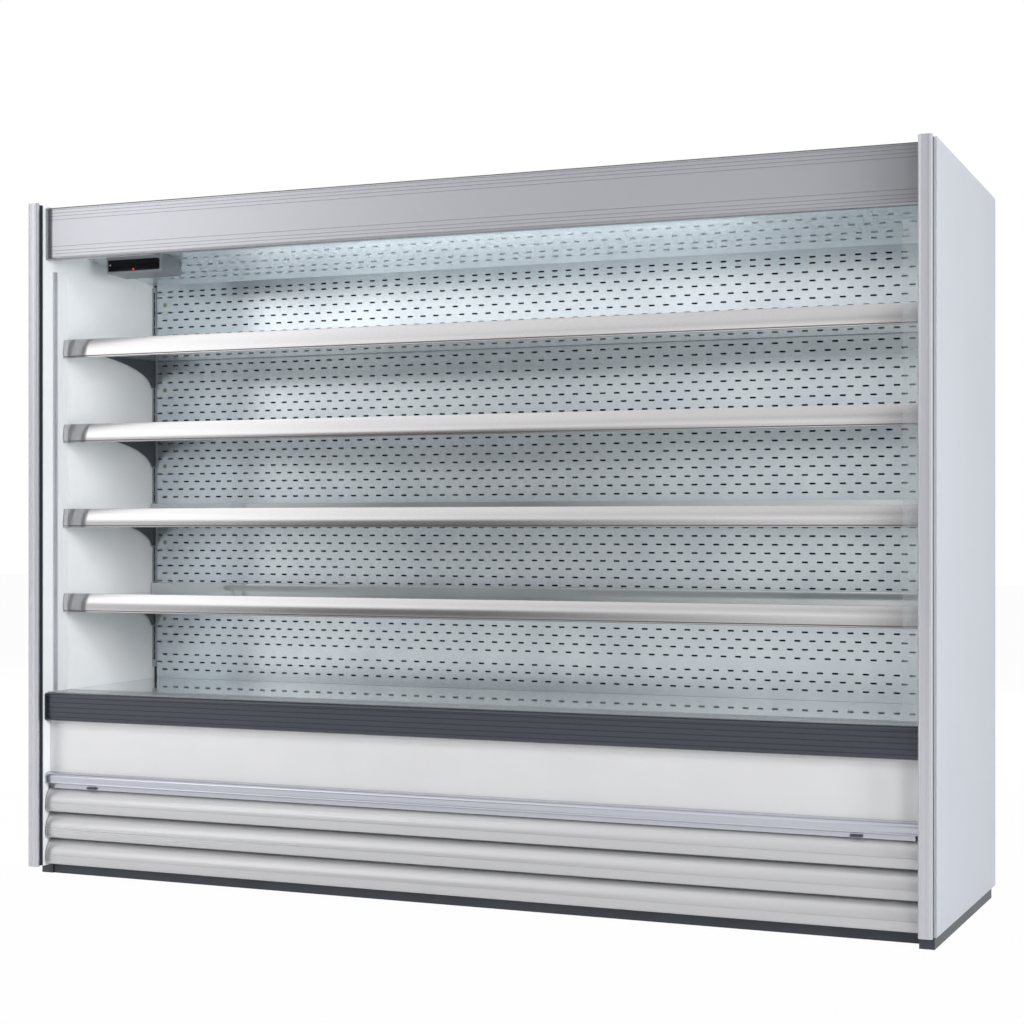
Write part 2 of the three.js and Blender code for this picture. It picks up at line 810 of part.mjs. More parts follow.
// ---- bumper, front panel and trim rail ----
function bumperRail() {
  const r = bumperRadius;
  const rear = frontPanelDepth - fit;
  const base = bumperTop - bumperHeight;
  const grooves = bumperGrooves.map((rise) => base + rise);
  const shape = new THREE.Shape();
  shape.moveTo(rear, bumperTop);
  shape.lineTo(rear, base);
  shape.lineTo(bumperFront + r, base);
  shape.absarc(bumperFront + r, base + r, r, -Math.PI / 2, -Math.PI, true);
  groovedFace(bumperFront, grooves, bumperGrooveDepth, 2 * bumperGrooveDepth)
    .forEach(([d, z]) => shape.lineTo(d, z));
  shape.absarc(bumperFront + r, bumperTop - r, r, Math.PI, Math.PI / 2, true);
  shape.closePath();
  return sectionAlongX(shape, -longHalf, longHalf, 4);
}

function trimRail() {
  const rear = frontPanelDepth - fit;
  const top = trimBottom + trimHeight;
  const shape = new THREE.Shape();
  shape.moveTo(rear, top);
  shape.lineTo(rear - trimShoulder, top - trimCrown / 2);
  shape.quadraticCurveTo(trimFront, top - trimCrown, trimFront, top - trimShoulder);
  shape.lineTo(trimFront, trimBottom + trimChamfer);
  shape.lineTo(trimFront + trimChamfer, trimBottom);
  shape.lineTo(rear, trimBottom);
  shape.closePath();
  return sectionAlongX(shape, -longHalf, longHalf, 5);
}

addPart('bumper', bumperRail(), blueGrey());
addPart('front_panel', blockAt(0, longHalf, frontPanelDepth, frontPanelDepth + sheet,
  trimBottom + frontPanelTuck, bumperTop), whitePaint());
addPart('trim_rail', trimRail(), anodised());

// ---- lower grille ----
// curved slat: a quarter ellipse above, nearly upright below, with a folded lower edge
function louvreSlat(top) {
  const bottom = top - slatHeight;
  const bulge = bottom + slatBulge;
  const reach = slatRear - slatFront;
  const arc = Array.from({ length: slatSteps + 1 }, (_, i) => (i / slatSteps) * (Math.PI / 2));
  const outer = arc.map((angle) => [
    slatRear - reach * Math.sin(angle),
    bulge + (top - bulge) * Math.cos(angle),
  ]);
  const inner = arc.map((angle) => [
    slatRear - (reach - slatWall) * Math.sin(angle),
    bulge + (top - slatWall - bulge) * Math.cos(angle),
  ]);
  const foot = bottom + slatFootRise;
  const fold = slatFront + slatFoldDepth;
  return sectionAlongX(outline([
    ...outer,
    [slatFront, foot],
    [fold - slatFoldRise, bottom + slatFoldRise],
    [fold, bottom],
    [fold + slatLip, bottom],
    [fold + slatLip, bottom + slatWall],
    [fold, bottom + slatWall],
    [slatFront + slatWall, foot],
    ...inner.reverse(),
  ]), -halfWidth + slatEndGap, halfWidth - slatEndGap);
}

// carrier of the slats: upright bars, a lower rail on two pins and a folded top flange
function grilleFrame() {
  const barX = grilleHalf - grilleBarWidth / 2;
  const bars = [-barX, -grilleInnerBar, grilleInnerBar, barX].map((x) => blockAt(
    x, grilleBarWidth / 2, grilleBarFront, grilleBarRear, grilleBase, grilleTop));
  const lowerRail = blockAt(0, grilleHalf, grilleBarFront, grilleBarRear,
    grilleBase, grilleBase + grilleRailHeight);
  const topPlate = blockAt(0, grilleHalf, grilleFlangeFront, grilleBarRear,
    grilleTop - grilleFlangeWall, grilleTop);
  const flange = blockAt(0, grilleHalf, grilleFlangeFront, grilleFlangeFront + grilleFlangeWall,
    grilleTop - grilleFlangeHeight, grilleTop);
  const pinHoles = sides.map(([, side]) => {
    const [x0, x1] = spanOf(side, grilleHalf - grillePinLength - past, grilleHalf + past);
    return rodAlongX(grillePinRadius + fit, x0, x1, grillePinDepth, grillePinHeight);
  });
  const stemHoles = sides.map(([, side]) => blockAt(side * catchX, catchStemHalf + fit,
    grilleFlangeFront - past, grilleFlangeFront + grilleFlangeWall + past,
    catchBase - fit, catchBase + catchHeight + fit));
  return cut(joined(lowerRail, topPlate, flange, ...bars), ...pinHoles, ...stemHoles);
}

const catchX = halfWidth - catchInset;
const catchBase = grilleTop - grilleFlangeHeight + catchRise;

// press catch: a wide button in front of the flange on a stem that passes through it
function grilleCatch(side) {
  const rear = grilleFlangeFront - fit - catchTravel;
  return joined(
    blockAt(side * catchX, catchHalf, rear - catchThickness, rear, catchBase, catchBase + catchHeight),
    blockAt(side * catchX, catchStemHalf, rear - overlap, rear + catchStemLength,
      catchBase, catchBase + catchHeight));
}

for (let i = 0; i < slatCount; i += 1) {
  addPart(`louvre_slat_${i + 1}`, louvreSlat(slatTop - i * slatPitch), anodised());
}
addPart('grille_frame', grilleFrame(), galvanised());
sides.forEach(([name, side]) => addPart(`grille_catch_${name}`, grilleCatch(side), darkPlastic()));

// ---- side wings ----
sides.forEach(([name, side]) => {
  const [x0, x1] = spanOf(side, halfWidth - wingWidth, halfWidth - fit);
  addPart(`wing_${name}`, block(x0, x1, wingFront, wingFront + wingThickness,
    returnGrilleTop + fit, canopyBottom - wingTopGap), clearAcrylic());
});

// ---- fans and coil ----
// front face of the motor behind a rotor
function motorFace(d) {
  return d + hubLength / 2 + motorGap;
}

// rotor with the shaft that turns in its motor
function bladeRotor(x, d, z, radius, chord) {
  const length = radius - hubRadius + bladeRoot;
  const blades = Array.from({ length: bladeCount }, (_, i) => {
    const blade = new THREE.BoxGeometry(length, bladeThickness, chord);
    blade.rotateX(bladeTilt);
    blade.translate(radius - bladeTipInset - length / 2, 0, 0);
    blade.rotateY((i / bladeCount) * Math.PI * 2);
    blade.translate(x, frontY + d, z);
    return solid(blade);
  });
  const sweep = solid(rodAlongY(radius, x, d - hubLength, d + hubLength, z, 28));
  const hub = solid(rodAlongY(hubRadius, x, d - hubLength / 2, d + hubLength / 2, z));
  const shaft = solid(rodAlongY(shaftRadius, x, d, motorFace(d) + shaftSeat, z, 12));
  const bladeSet = blades.reduce((whole, blade) => whole.add(blade)).intersect(sweep);
  return geometryOf(bladeSet.add(hub).add(shaft));
}

// motor can on three arms behind the rotor
function motorParts(x, d, z, armReach) {
  const start = motorFace(d);
  const arms = [0, 1, 2].map((i) => {
    const arm = new THREE.BoxGeometry(armReach, motorArmThickness, motorArmHeight);
    arm.translate(armReach / 2, 0, 0);
    arm.rotateY(Math.PI / 2 + (i / 3) * Math.PI * 2);
    arm.translate(x, frontY + start + fanPlateWall / 2, z);
    return arm;
  });
  return [rodAlongY(motorRadius, x, start, start + motorLength, z), ...arms];
}

// hole in the motor's face that takes the shaft
function shaftBore(x, d, z) {
  return rodAlongY(shaftRadius + fit, x, motorFace(d) - past, motorFace(d) + shaftSeat + fit, z, 12);
}

// upright plate with a round hole behind each fan
function holedPlate(x0, x1, z0, z1, d, holes) {
  const plate = block(x0, x1, d, d + fanPlateWall, z0, z1);
  return cut(plate, ...holes.map(
    ([x, z, radius]) => rodAlongY(radius, x, d - past, d + fanPlateWall + past, z, 28)));
}

function deckUnderside(d) {
  const front = returnGrilleRear + fit + sheet;
  const rear = backPanelFront - deckGap;
  return deckFrontHeight - sheet + (deckRise * (d - front)) / (rear - front);
}

function fanPlate() {
  const front = motorFace(evaporatorFanDepth);
  const holeRadius = evaporatorFanRadius + tipGap;
  const holes = sides.map(([, side]) => [side * evaporatorFanX, evaporatorFanZ, holeRadius]);
  const plate = holedPlate(-baseHalf, baseHalf, tubInside + fit, deckUnderside(front) - fit, front, holes);
  const motors = holes.flatMap(([x, z]) => motorParts(x, evaporatorFanDepth, z, holeRadius + tipGap));
  return cut(joined(plate, ...motors), ...holes.map(([x, z]) => shaftBore(x, evaporatorFanDepth, z)));
}

// block of upright fins on a closed lower edge
function evaporatorCoil() {
  const base = tubInside + fit;
  const top = base + coilHeight;
  const pitch = (2 * coilHalf) / coilFins;
  const slots = Array.from({ length: coilFins - 1 }, (_, i) => {
    const x = -coilHalf + (i + 1) * pitch;
    return block(x - coilSlotWidth, x, coilFront - past, coilRear + past, top - coilSlotDepth, top + past);
  });
  return cut(blockAt(0, coilHalf, coilFront, coilRear, base, top), ...slots);
}

addPart('fan_plate', fanPlate(), galvanised());
addPart('evaporator_coil', evaporatorCoil(), brightSheet());
sides.forEach(([name, side]) => addPart(`evaporator_fan_${name}`, bladeRotor(side * evaporatorFanX,
  evaporatorFanDepth, evaporatorFanZ, evaporatorFanRadius, evaporatorBladeChord), darkPlastic()));

// ---- base frame and feet ----
const footX = halfWidth - footInset;
const feet = [
  ['foot_front_left', -footX, panFront + footFrontInset],
  ['foot_front_right', footX, panFront + footFrontInset],
  ['foot_rear_left', -footX, bodyRear - footRearInset],
  ['foot_rear_right', footX, bodyRear - footRearInset],
];

// pan with posts that carry the tub, a vented rear plate, foot bosses and the grille's pin ears
function baseFrame() {
  const top = tubBase - fit;
  const pan = sectionAlongX(outline([
    [panFront, panBase], [bodyRear, panBase], [bodyRear, top], [bodyRear - panWall, top],
    [bodyRear - panWall, panTop], [panFront + panWall, panTop],
    [panFront + panWall, panBase + panFlange], [panFront, panBase + panFlange],
  ]), -baseHalf, baseHalf);
  const postX = baseHalf - postSize / 2;
  const posts = [-postX, 0, postX].flatMap((x) => [
    blockAt(x, postSize / 2, panFront, panFront + postSize, panBase, top),
    blockAt(x, postSize / 2, bodyRear - postSize, bodyRear, panBase, top),
  ]);
  const bosses = feet.map(([, x, d]) => rodUp(footStemRadius + footBossWall, x, d,
    panBase, panTop + footBoss));
  const ears = sides.flatMap(([, side]) => {
    const earInner = grilleHalf + grilleEarGap;
    const [x0, x1] = spanOf(side, earInner, earInner + grilleEarWidth);
    const [p0, p1] = spanOf(side, grilleHalf - grillePinLength, earInner + overlap);
    return [
      block(x0, x1, grilleBarFront, panFront + panWall,
        grilleBase - grilleEarDrop, grillePinHeight + grilleEarRise),
      rodAlongX(grillePinRadius, p0, p1, grillePinDepth, grillePinHeight),
    ];
  });
  const stemHoles = feet.map(([, x, d]) => rodUp(footStemRadius + fit, x, d,
    panBase - past, panTop + footStemTop));
  const columnPitch = baseHalf / (ventColumns / 2);
  const vents = [];
  for (let column = 0; column < ventColumns; column += 1) {
    const x = -baseHalf + (column + 0.5) * columnPitch;
    for (let row = 0; row < ventRows; row += 1) {
      const z = panTop + ventRise + row * ventPitch;
      vents.push(blockAt(x, ventWidth / 2, bodyRear - panWall - past, bodyRear + past, z, z + ventHeight));
    }
  }
  return cut(joined(pan, ...posts, ...bosses, ...ears), ...stemHoles, ...vents);
}

// levelling foot: wide pad, neck with a collar under the pan and a threaded stem
function levellingFoot(x, d) {
  const collar = panBase - fit;
  const stemEnd = panTop + footStemTop;
  const points = [
    [0, 0], [footRadius, 0], [footRadius, footPad], [footNeckRadius, footPad + footTaper],
    [footNeckRadius, collar], [footStemRadius, collar], [footStemRadius, stemEnd], [0, stemEnd],
  ].map(([r, z]) => new THREE.Vector2(r, z));
  const geometry = new THREE.LatheGeometry(points, 16);
  geometry.rotateX(Math.PI / 2);
  geometry.translate(x, frontY + d, 0);
  return geometryOf(solid(geometry));
}

addPart('base_frame', baseFrame(), galvanised());
feet.forEach(([name, x, d]) => addPart(name, levellingFoot(x, d), darkPlastic()));

// ---- machinery behind the lower grille ----
// fin block, shroud with the fan hole, two cheeks between them and the fan motor
function condenserUnit() {
  const x0 = condenserX - condenserHalf;
  const x1 = condenserX + condenserHalf;
  const rear = condenserFront + condenserDepth;
  const shroud = motorFace(condenserFanDepth);
  const pitch = (2 * condenserHalf) / condenserFins;
  const slots = Array.from({ length: condenserFins - 1 }, (_, i) => {
    const x = x0 + (i + 1) * pitch;
    return block(x - condenserSlotWidth, x, condenserFront - past, condenserFront + condenserSlotDepth,
      machineFloor - past, machineTop + past);
  });
  const core = cut(block(x0, x1, condenserFront, rear, machineFloor, machineTop), ...slots);
  const holeRadius = condenserFanRadius + tipGap;
  const unit = joined(
    core,
    holedPlate(x0, x1, machineFloor, machineTop, shroud, [[condenserX, condenserFanZ, holeRadius]]),
    block(x0, x0 + panWall, rear - overlap, shroud + overlap, machineFloor, machineTop),
    block(x1 - panWall, x1, rear - overlap, shroud + overlap, machineFloor, machineTop),
    ...motorParts(condenserX, condenserFanDepth, condenserFanZ, holeRadius + tipGap));
  return cut(unit, shaftBore(condenserX, condenserFanDepth, condenserFanZ));
}

function refrigerantLine(points) {
  const ring = Array.from({ length: lineSides }, (_, i) => {
    const angle = (i / lineSides) * Math.PI * 2;
    return [lineRadius * Math.cos(angle), lineRadius * Math.sin(angle)];
  });
  const path = new THREE.CatmullRomCurve3(points.map(([x, d, z]) => new THREE.Vector3(x, frontY + d, z)));
  const options = { steps: lineSteps, bevelEnabled: false, extrudePath: path };
  return new THREE.ExtrudeGeometry(outline(ring), options);
}

// hermetic compressor: domed shell on a foot plate, with its discharge and suction lines
function compressor() {
  const r = compressorRadius;
  const base = machineFloor + compressorPlateThickness - shellSeat;
  const top = machineFloor + compressorHeight;
  const shell = [
    [0, base], [r - shellFoot, base], [r, base + shellShoulder], [r, top - domeHeight],
    [r - domeInset / 4, top - domeHeight / 2], [r - domeInset, top - domeHeight / 8], [0, top],
  ].map(([radius, z]) => new THREE.Vector2(radius, z));
  const body = new THREE.LatheGeometry(shell, 20);
  body.rotateX(Math.PI / 2);
  body.translate(compressorX, frontY + compressorDepth, 0);
  const plate = blockAt(compressorX, compressorPlateHalf,
    compressorDepth - r + compressorPlateInset, compressorDepth + r - compressorPlateInset,
    machineFloor, machineFloor + compressorPlateThickness);
  const outX = compressorX + r;
  const inX = compressorX - r;
  const lineZ = machineFloor + compressorHeight / 2;
  const endX = condenserX - condenserHalf - fit;
  const endDepth = condenserFront + condenserDepth / 2;
  const discharge = refrigerantLine([
    [outX - lineRoot, compressorDepth, lineZ],
    [outX + lineReach, compressorDepth, lineZ],
    [(outX + endX) / 2, (compressorDepth + endDepth) / 2, lineZ + lineRise],
    [endX - lineReach, endDepth, lineZ + lineRise],
    [endX, endDepth, lineZ + lineRise],
  ]);
  const suctionX = inX - lineReach;
  const suctionDepth = compressorDepth + lineReach;
  const suction = refrigerantLine([
    [inX + lineRoot, compressorDepth, lineZ + lineRise],
    [(inX + suctionX) / 2, compressorDepth, lineZ + lineRise],
    [suctionX, (compressorDepth + suctionDepth) / 2, lineZ + 2 * lineRise],
    [suctionX, suctionDepth, tubBase - 2 * lineRise],
    [suctionX, suctionDepth, tubBase - fit],
  ]);
  return joined(body, plate, discharge, suction);
}

// control box with a pocket and pin for the rocker and a cable gland at its rear
function electricalBox() {
  const rear = boxFront + boxDepth;
  const body = blockAt(boxX, boxHalf, boxFront, rear, machineFloor, machineFloor + boxHeight);
  const pocketHalf = rockerHalfWidth + rockerClearance;
  const pocketRise = rockerHalfHeight + rockerClearance;
  const pocket = blockAt(switchX, pocketHalf, boxFront - past, boxFront + pocketDepth,
    switchZ - pocketRise, switchZ + pocketRise);
  const pin = rodAlongX(rockerPinRadius, switchX - pocketHalf - overlap, switchX + pocketHalf + overlap,
    boxFront + rockerPinDepth, switchZ);
  const glandZ = machineFloor + boxHeight / 3;
  const gland = cut(
    rodAlongY(glandRadius, boxX, rear - overlap, rear + glandLength, glandZ),
    rodAlongY(glandBore, boxX, rear + glandFloor, rear + glandLength + past, glandZ, 12));
  return joined(cut(body, pocket), pin, gland);
}

function rockerSwitch() {
  const pin = boxFront + rockerPinDepth;
  const face = boxFront - rockerProud;
  const profile = outline([
    [face, switchZ + rockerHalfHeight], [face + rockerProud, switchZ], [face, switchZ - rockerHalfHeight],
    [pin, switchZ - rockerHalfHeight + rockerClearance], [pin + rockerTail, switchZ - rockerTailHalf],
    [pin + rockerTail, switchZ + rockerTailHalf], [pin, switchZ + rockerHalfHeight - rockerClearance]]);
  const bore = rodAlongX(rockerPinRadius + fit,
    switchX - rockerHalfWidth - past, switchX + rockerHalfWidth + past, pin, switchZ);
  return cut(sectionAlongX(profile, switchX - rockerHalfWidth, switchX + rockerHalfWidth), bore);
}

addPart('condenser', condenserUnit(), galvanised());
addPart('condenser_fan', bladeRotor(condenserX, condenserFanDepth, condenserFanZ,
  condenserFanRadius, condenserBladeChord), darkPlastic());
addPart('compressor', compressor(), darkPlastic());
addPart('electrical_box', electricalBox(), galvanised());
addPart('power_switch', rockerSwitch(), darkRubber());

export default group;
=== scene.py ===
import math

import bmesh
import bpy
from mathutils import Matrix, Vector


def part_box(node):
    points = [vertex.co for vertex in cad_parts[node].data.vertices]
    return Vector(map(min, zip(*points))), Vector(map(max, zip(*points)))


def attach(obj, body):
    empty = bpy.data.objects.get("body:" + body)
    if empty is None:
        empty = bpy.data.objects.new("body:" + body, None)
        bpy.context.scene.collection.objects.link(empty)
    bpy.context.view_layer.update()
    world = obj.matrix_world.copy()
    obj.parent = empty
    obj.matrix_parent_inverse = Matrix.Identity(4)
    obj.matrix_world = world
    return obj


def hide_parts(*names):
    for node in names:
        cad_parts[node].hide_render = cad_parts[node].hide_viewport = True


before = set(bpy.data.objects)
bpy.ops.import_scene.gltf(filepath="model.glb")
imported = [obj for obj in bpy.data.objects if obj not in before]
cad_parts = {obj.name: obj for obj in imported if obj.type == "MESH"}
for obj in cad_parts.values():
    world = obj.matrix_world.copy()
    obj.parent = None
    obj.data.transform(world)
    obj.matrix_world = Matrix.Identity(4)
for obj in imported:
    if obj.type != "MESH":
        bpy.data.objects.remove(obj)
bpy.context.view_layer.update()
scene = bpy.context.scene
mm = 0.001
print("frame loaded:", len(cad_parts), "nodes")

# the camera stands to the right of the middle, level, a little under one metre high
cameraSetup = {
    "place": (2.26549, -5.10111, 0.98933),
    "turn": 23.532,             # degrees to the left of straight ahead
    "lens": 70.946,
    "sensor": 36.0,
    "frameSize": 1024,
    "horizonRow": 527.85,       # image row of the horizon
}


def addCamera(setup):
    data = bpy.data.cameras.new("photoCamera")
    data.lens = setup["lens"]
    data.sensor_width = setup["sensor"]
    data.shift_y = (setup["horizonRow"] - setup["frameSize"] / 2) / setup["frameSize"]
    camera = bpy.data.objects.new("photoCamera", data)
    camera.location = setup["place"]
    camera.rotation_euler = (math.radians(90), 0, math.radians(setup["turn"]))
    scene.collection.objects.link(camera)
    scene.camera = camera


addCamera(cameraSetup)

# ---- places taken from the frame ----
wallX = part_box("front_profile_right")[0].x      # inner face of the end panels
sides = (("left", -1), ("right", 1))


def corners(node):
    low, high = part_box(node)
    return low.x, high.x, low.y, high.y, low.z, high.z


# ---- mesh helpers ----
def filletLoop(points, steps=5):
    # closed outline in metres; each corner is (u, v) or (u, v, radius)
    loop = []
    count = len(points)
    for i, corner in enumerate(points):
        here = Vector(corner[:2])
        radius = corner[2] if len(corner) > 2 else 0
        if not radius:
            loop.append(here)
            continue
        before = (Vector(points[i - 1][:2]) - here).normalized()
        after = (Vector(points[(i + 1) % count][:2]) - here).normalized()
        half = before.angle(after) / 2
        reach = radius / math.tan(half)
        start, end = here + before * reach, here + after * reach
        centre = here + (before + after).normalized() * (radius / math.sin(half))
        a, b = start - centre, end - centre
        for k in range(steps + 1):
            t = k / steps
            swing = a.lerp(b, t)
            loop.append(centre + swing.normalized() * radius)
    return loop


def arcPoints(centre, radiusU, radiusV, startAngle, endAngle, steps):
    points = []
    for k in range(steps + 1):
        angle = math.radians(startAngle + (endAngle - startAngle) * k / steps)
        points.append((centre[0] + radiusU * math.cos(angle), centre[1] + radiusV * math.sin(angle)))
    return points


def pieceFromBmesh(name, work, smoothAngle=32):
    bmesh.ops.recalc_face_normals(work, faces=work.faces)
    mesh = bpy.data.meshes.new(name)
    work.to_mesh(mesh)
    work.free()
    mesh.polygons.foreach_set("use_smooth", [True] * len(mesh.polygons))
    mesh.set_sharp_from_angle(angle=math.radians(smoothAngle))
    piece = bpy.data.objects.new(name, mesh)
    scene.collection.objects.link(piece)
    return piece


def addLoop(work, loop, axis, start, end):
    # runs a closed outline along one axis; the outline is (y, z), (x, z) or (x, y)
    place = {
        "x": lambda u, v, w: (w, u, v),
        "y": lambda u, v, w: (u, w, v),
        "z": lambda u, v, w: (u, v, w),
    }[axis]
    first = [work.verts.new(place(u, v, start)) for u, v in loop]
    last = [work.verts.new(place(u, v, end)) for u, v in loop]
    count = len(loop)
    for i in range(count):
        work.faces.new((first[i], first[(i + 1) % count], last[(i + 1) % count], last[i]))
    caps = [work.faces.new(first), work.faces.new(list(reversed(last)))]
    for cap in caps:
        cap.normal_update()
    bmesh.ops.triangulate(work, faces=caps)


def addBox(work, x0, x1, y0, y1, z0, z1):
    addLoop(work, [(y0, z0), (y1, z0), (y1, z1), (y0, z1)], "x", x0, x1)


def extruded(name, loop, axis, start, end, smoothAngle=32):
    work = bmesh.new()
    addLoop(work, loop, axis, start, end)
    return pieceFromBmesh(name, work, smoothAngle)


def boxPiece(name, x0, x1, y0, y1, z0, z1):
    work = bmesh.new()
    addBox(work, x0, x1, y0, y1, z0, z1)
    return pieceFromBmesh(name, work)


def softenEdges(piece, width, segments=2, angle=40):
    edge = piece.modifiers.new("softEdge", "BEVEL")
    edge.width = width
    edge.segments = segments
    edge.limit_method = "ANGLE"
    edge.angle_limit = math.radians(angle)
    edge.harden_normals = True
    return piece


def addDisc(work, centre, normal, rings, segments=20):
    # turned shape: rings are (radius, height) pairs from the rim to the middle, along the normal
    normal = Vector(normal).normalized()
    side = normal.orthogonal().normalized()
    up = normal.cross(side)
    centre = Vector(centre)
    loops = []
    for radius, rise in rings:
        loop = []
        for k in range(segments):
            angle = 2 * math.pi * k / segments
            spoke = side * math.cos(angle) + up * math.sin(angle)
            loop.append(work.verts.new(centre + normal * rise + spoke * radius))
        loops.append(loop)
    for a, b in zip(loops, loops[1:]):
        for k in range(segments):
            work.faces.new((a[k], a[(k + 1) % segments], b[(k + 1) % segments], b[k]))
    work.faces.new(loops[-1])
    work.faces.new(list(reversed(loops[0])))


screwLook = {
    "radius": 3.6 * mm,
    "rise": 1.5 * mm,
    "sink": 0.2 * mm,
    "dome": ((1, 0.3), (0.75, 0.8), (0.45, 1)),      # shares of the radius and the rise
    "recess": 1.3 * mm,
    "recessFloor": 0.8,            # share of the recess's radius
    "recessDepth": 0.8 * mm,
    "sides": 12,
}


def addScrew(work, centre, normal):
    look = screwLook
    rise = look["rise"]
    recess = look["recess"]
    rings = [(look["radius"], -look["sink"])]
    rings += [(look["radius"] * out, rise * up) for out, up in look["dome"]]
    rings += [(recess, rise), (recess * look["recessFloor"], rise - look["recessDepth"])]
    addDisc(work, centre, normal, rings, look["sides"])


def place(piece, body, slotName, material, *nodes):
    piece.data.materials.clear()
    piece.data.materials.append(material)
    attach(piece, body)
    if nodes:
        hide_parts(*nodes)


# ---- materials ----
def linear(hexColour):
    parts = [int(hexColour[i:i + 2], 16) / 255 for i in (1, 3, 5)]
    return [c / 12.92 if c <= 0.04045 else ((c + 0.055) / 1.055) ** 2.4 for c in parts] + [1]


def nodeTree(owner):
    owner.use_nodes = True
    return owner.node_tree.nodes, owner.node_tree.links


def mapRange(nodes, links, source, low, high, outLow=0, outHigh=1):
    remap = nodes.new("ShaderNodeMapRange")
    remap.inputs["From Min"].default_value = low
    remap.inputs["From Max"].default_value = high
    remap.inputs["To Min"].default_value = outLow
    remap.inputs["To Max"].default_value = outHigh
    links.new(source, remap.inputs["Value"])
    return remap.outputs["Result"]


def surfaceMaterial(name, look):
    # one shader with cloudy tone, fine grain in roughness and bump, and a slow wave on sheet metal
    material = bpy.data.materials.new(name)
    nodes, links = nodeTree(material)
    shader = nodes["Principled BSDF"]
    coords = nodes.new("ShaderNodeTexCoord")

    def noise(scale, stretch, detail):
        mapping = nodes.new("ShaderNodeMapping")
        mapping.inputs["Scale"].default_value = stretch
        texture = nodes.new("ShaderNodeTexNoise")
        texture.inputs["Scale"].default_value = scale
        texture.inputs["Detail"].default_value = detail
        texture.inputs["Roughness"].default_value = 0.55
        links.new(coords.outputs["Object"], mapping.inputs["Vector"])
        links.new(mapping.outputs["Vector"], texture.inputs["Vector"])
        return texture.outputs["Fac"]

    cloud = noise(look.get("cloudScale", 3), look.get("cloudStretch", (1, 1, 1)), 4)
    grain = noise(look.get("grainScale", 300), look.get("grainStretch", (1, 1, 1)), 3)
    tone = nodes.new("ShaderNodeMix")
    tone.data_type = "RGBA"
    tone.inputs["A"].default_value = linear(look["dark"])
    tone.inputs["B"].default_value = linear(look["light"])
    links.new(mapRange(nodes, links, cloud, 0.32, 0.68), tone.inputs["Factor"])
    links.new(tone.outputs["Result"], shader.inputs["Base Color"])
    low, high = look["roughness"]
    links.new(mapRange(nodes, links, grain, 0.3, 0.7, low, high), shader.inputs["Roughness"])
    shader.inputs["Metallic"].default_value = look.get("metallic", 0)
    shader.inputs["IOR"].default_value = look.get("ior", 1.5)
    bump = nodes.new("ShaderNodeBump")
    bump.inputs["Strength"].default_value = look.get("bump", 0.1)
    bump.inputs["Distance"].default_value = look.get("bumpHeight", 0.2) * mm
    links.new(grain, bump.inputs["Height"])
    last = bump
    if look.get("wave"):
        wave = nodes.new("ShaderNodeBump")
        wave.inputs["Strength"].default_value = look["wave"]
        wave.inputs["Distance"].default_value = look.get("waveHeight", 1.0) * mm
        links.new(noise(look.get("waveScale", 6), (1, 1, 1), 1), wave.inputs["Height"])
        links.new(bump.outputs["Normal"], wave.inputs["Normal"])
        last = wave
    links.new(last.outputs["Normal"], shader.inputs["Normal"])
    return material


def enamel(name, light, dark, roughness, bump, bumpHeight=0.12, ior=1.5):
    # powder coat with faint orange peel
    return surfaceMaterial(name, {
        "light": light, "dark": dark, "roughness": roughness, "grainScale": 420,
        "bump": bump, "bumpHeight": bumpHeight, "ior": ior})


def anodised(name, light, dark, stretch, roughness, metallic, ior=1.5):
    # satin extrusion: fine draw lines run along the profile
    return surfaceMaterial(name, {
        "light": light, "dark": dark, "metallic": metallic, "roughness": roughness, "ior": ior,
        "grainScale": 1.0, "grainStretch": stretch, "cloudScale": 1.0,
        "cloudStretch": tuple(s * 0.1 for s in stretch), "bump": 0.02, "bumpHeight": 0.003})


def polishedSheet(name, light, dark, roughness, metallic=0.85, wave=0.12):
    # bright sheet with a soft roll wave that stirs the reflections
    return surfaceMaterial(name, {
        "light": light, "dark": dark, "metallic": metallic, "roughness": roughness,
        "cloudScale": 5, "grainScale": 60, "bump": 0.005, "bumpHeight": 0.01,
        "wave": wave, "waveHeight": 0.5, "waveScale": 4})


def galvanisedSheet():
    # zinc spangle
    return surfaceMaterial("galvanisedSheet", {
        "light": "#B4B9BD", "dark": "#A8AEB3", "metallic": 0.75, "roughness": (0.40, 0.48),
        "cloudScale": 22, "grainScale": 120, "bump": 0.04, "bumpHeight": 0.05})


def plainPlastic(name, light, dark, roughness, bump=0.25):
    return surfaceMaterial(name, {
        "light": light, "dark": dark, "roughness": roughness, "cloudScale": 8,
        "grainScale": 700, "bump": bump, "bumpHeight": 0.1})


def clearAcrylic():
    # thin clear sheet: mostly see-through, with a faint cool veil
    material = surfaceMaterial("clearAcrylic", {
        "light": "#DFE5E8", "dark": "#D3DADE", "roughness": (0.03, 0.06), "cloudScale": 6,
        "grainScale": 200, "bump": 0.01, "bumpHeight": 0.01})
    material.node_tree.nodes["Principled BSDF"].inputs["Alpha"].default_value = 0.14
    return material


def glowingRed():
    material = surfaceMaterial("redLamp", {"light": "#D8221C", "dark": "#B81512", "roughness": (0.2, 0.3)})
    shader = material.node_tree.nodes["Principled BSDF"]
    shader.inputs["Emission Color"].default_value = linear("#FF2A1C")
    shader.inputs["Emission Strength"].default_value = 1.2
    return material


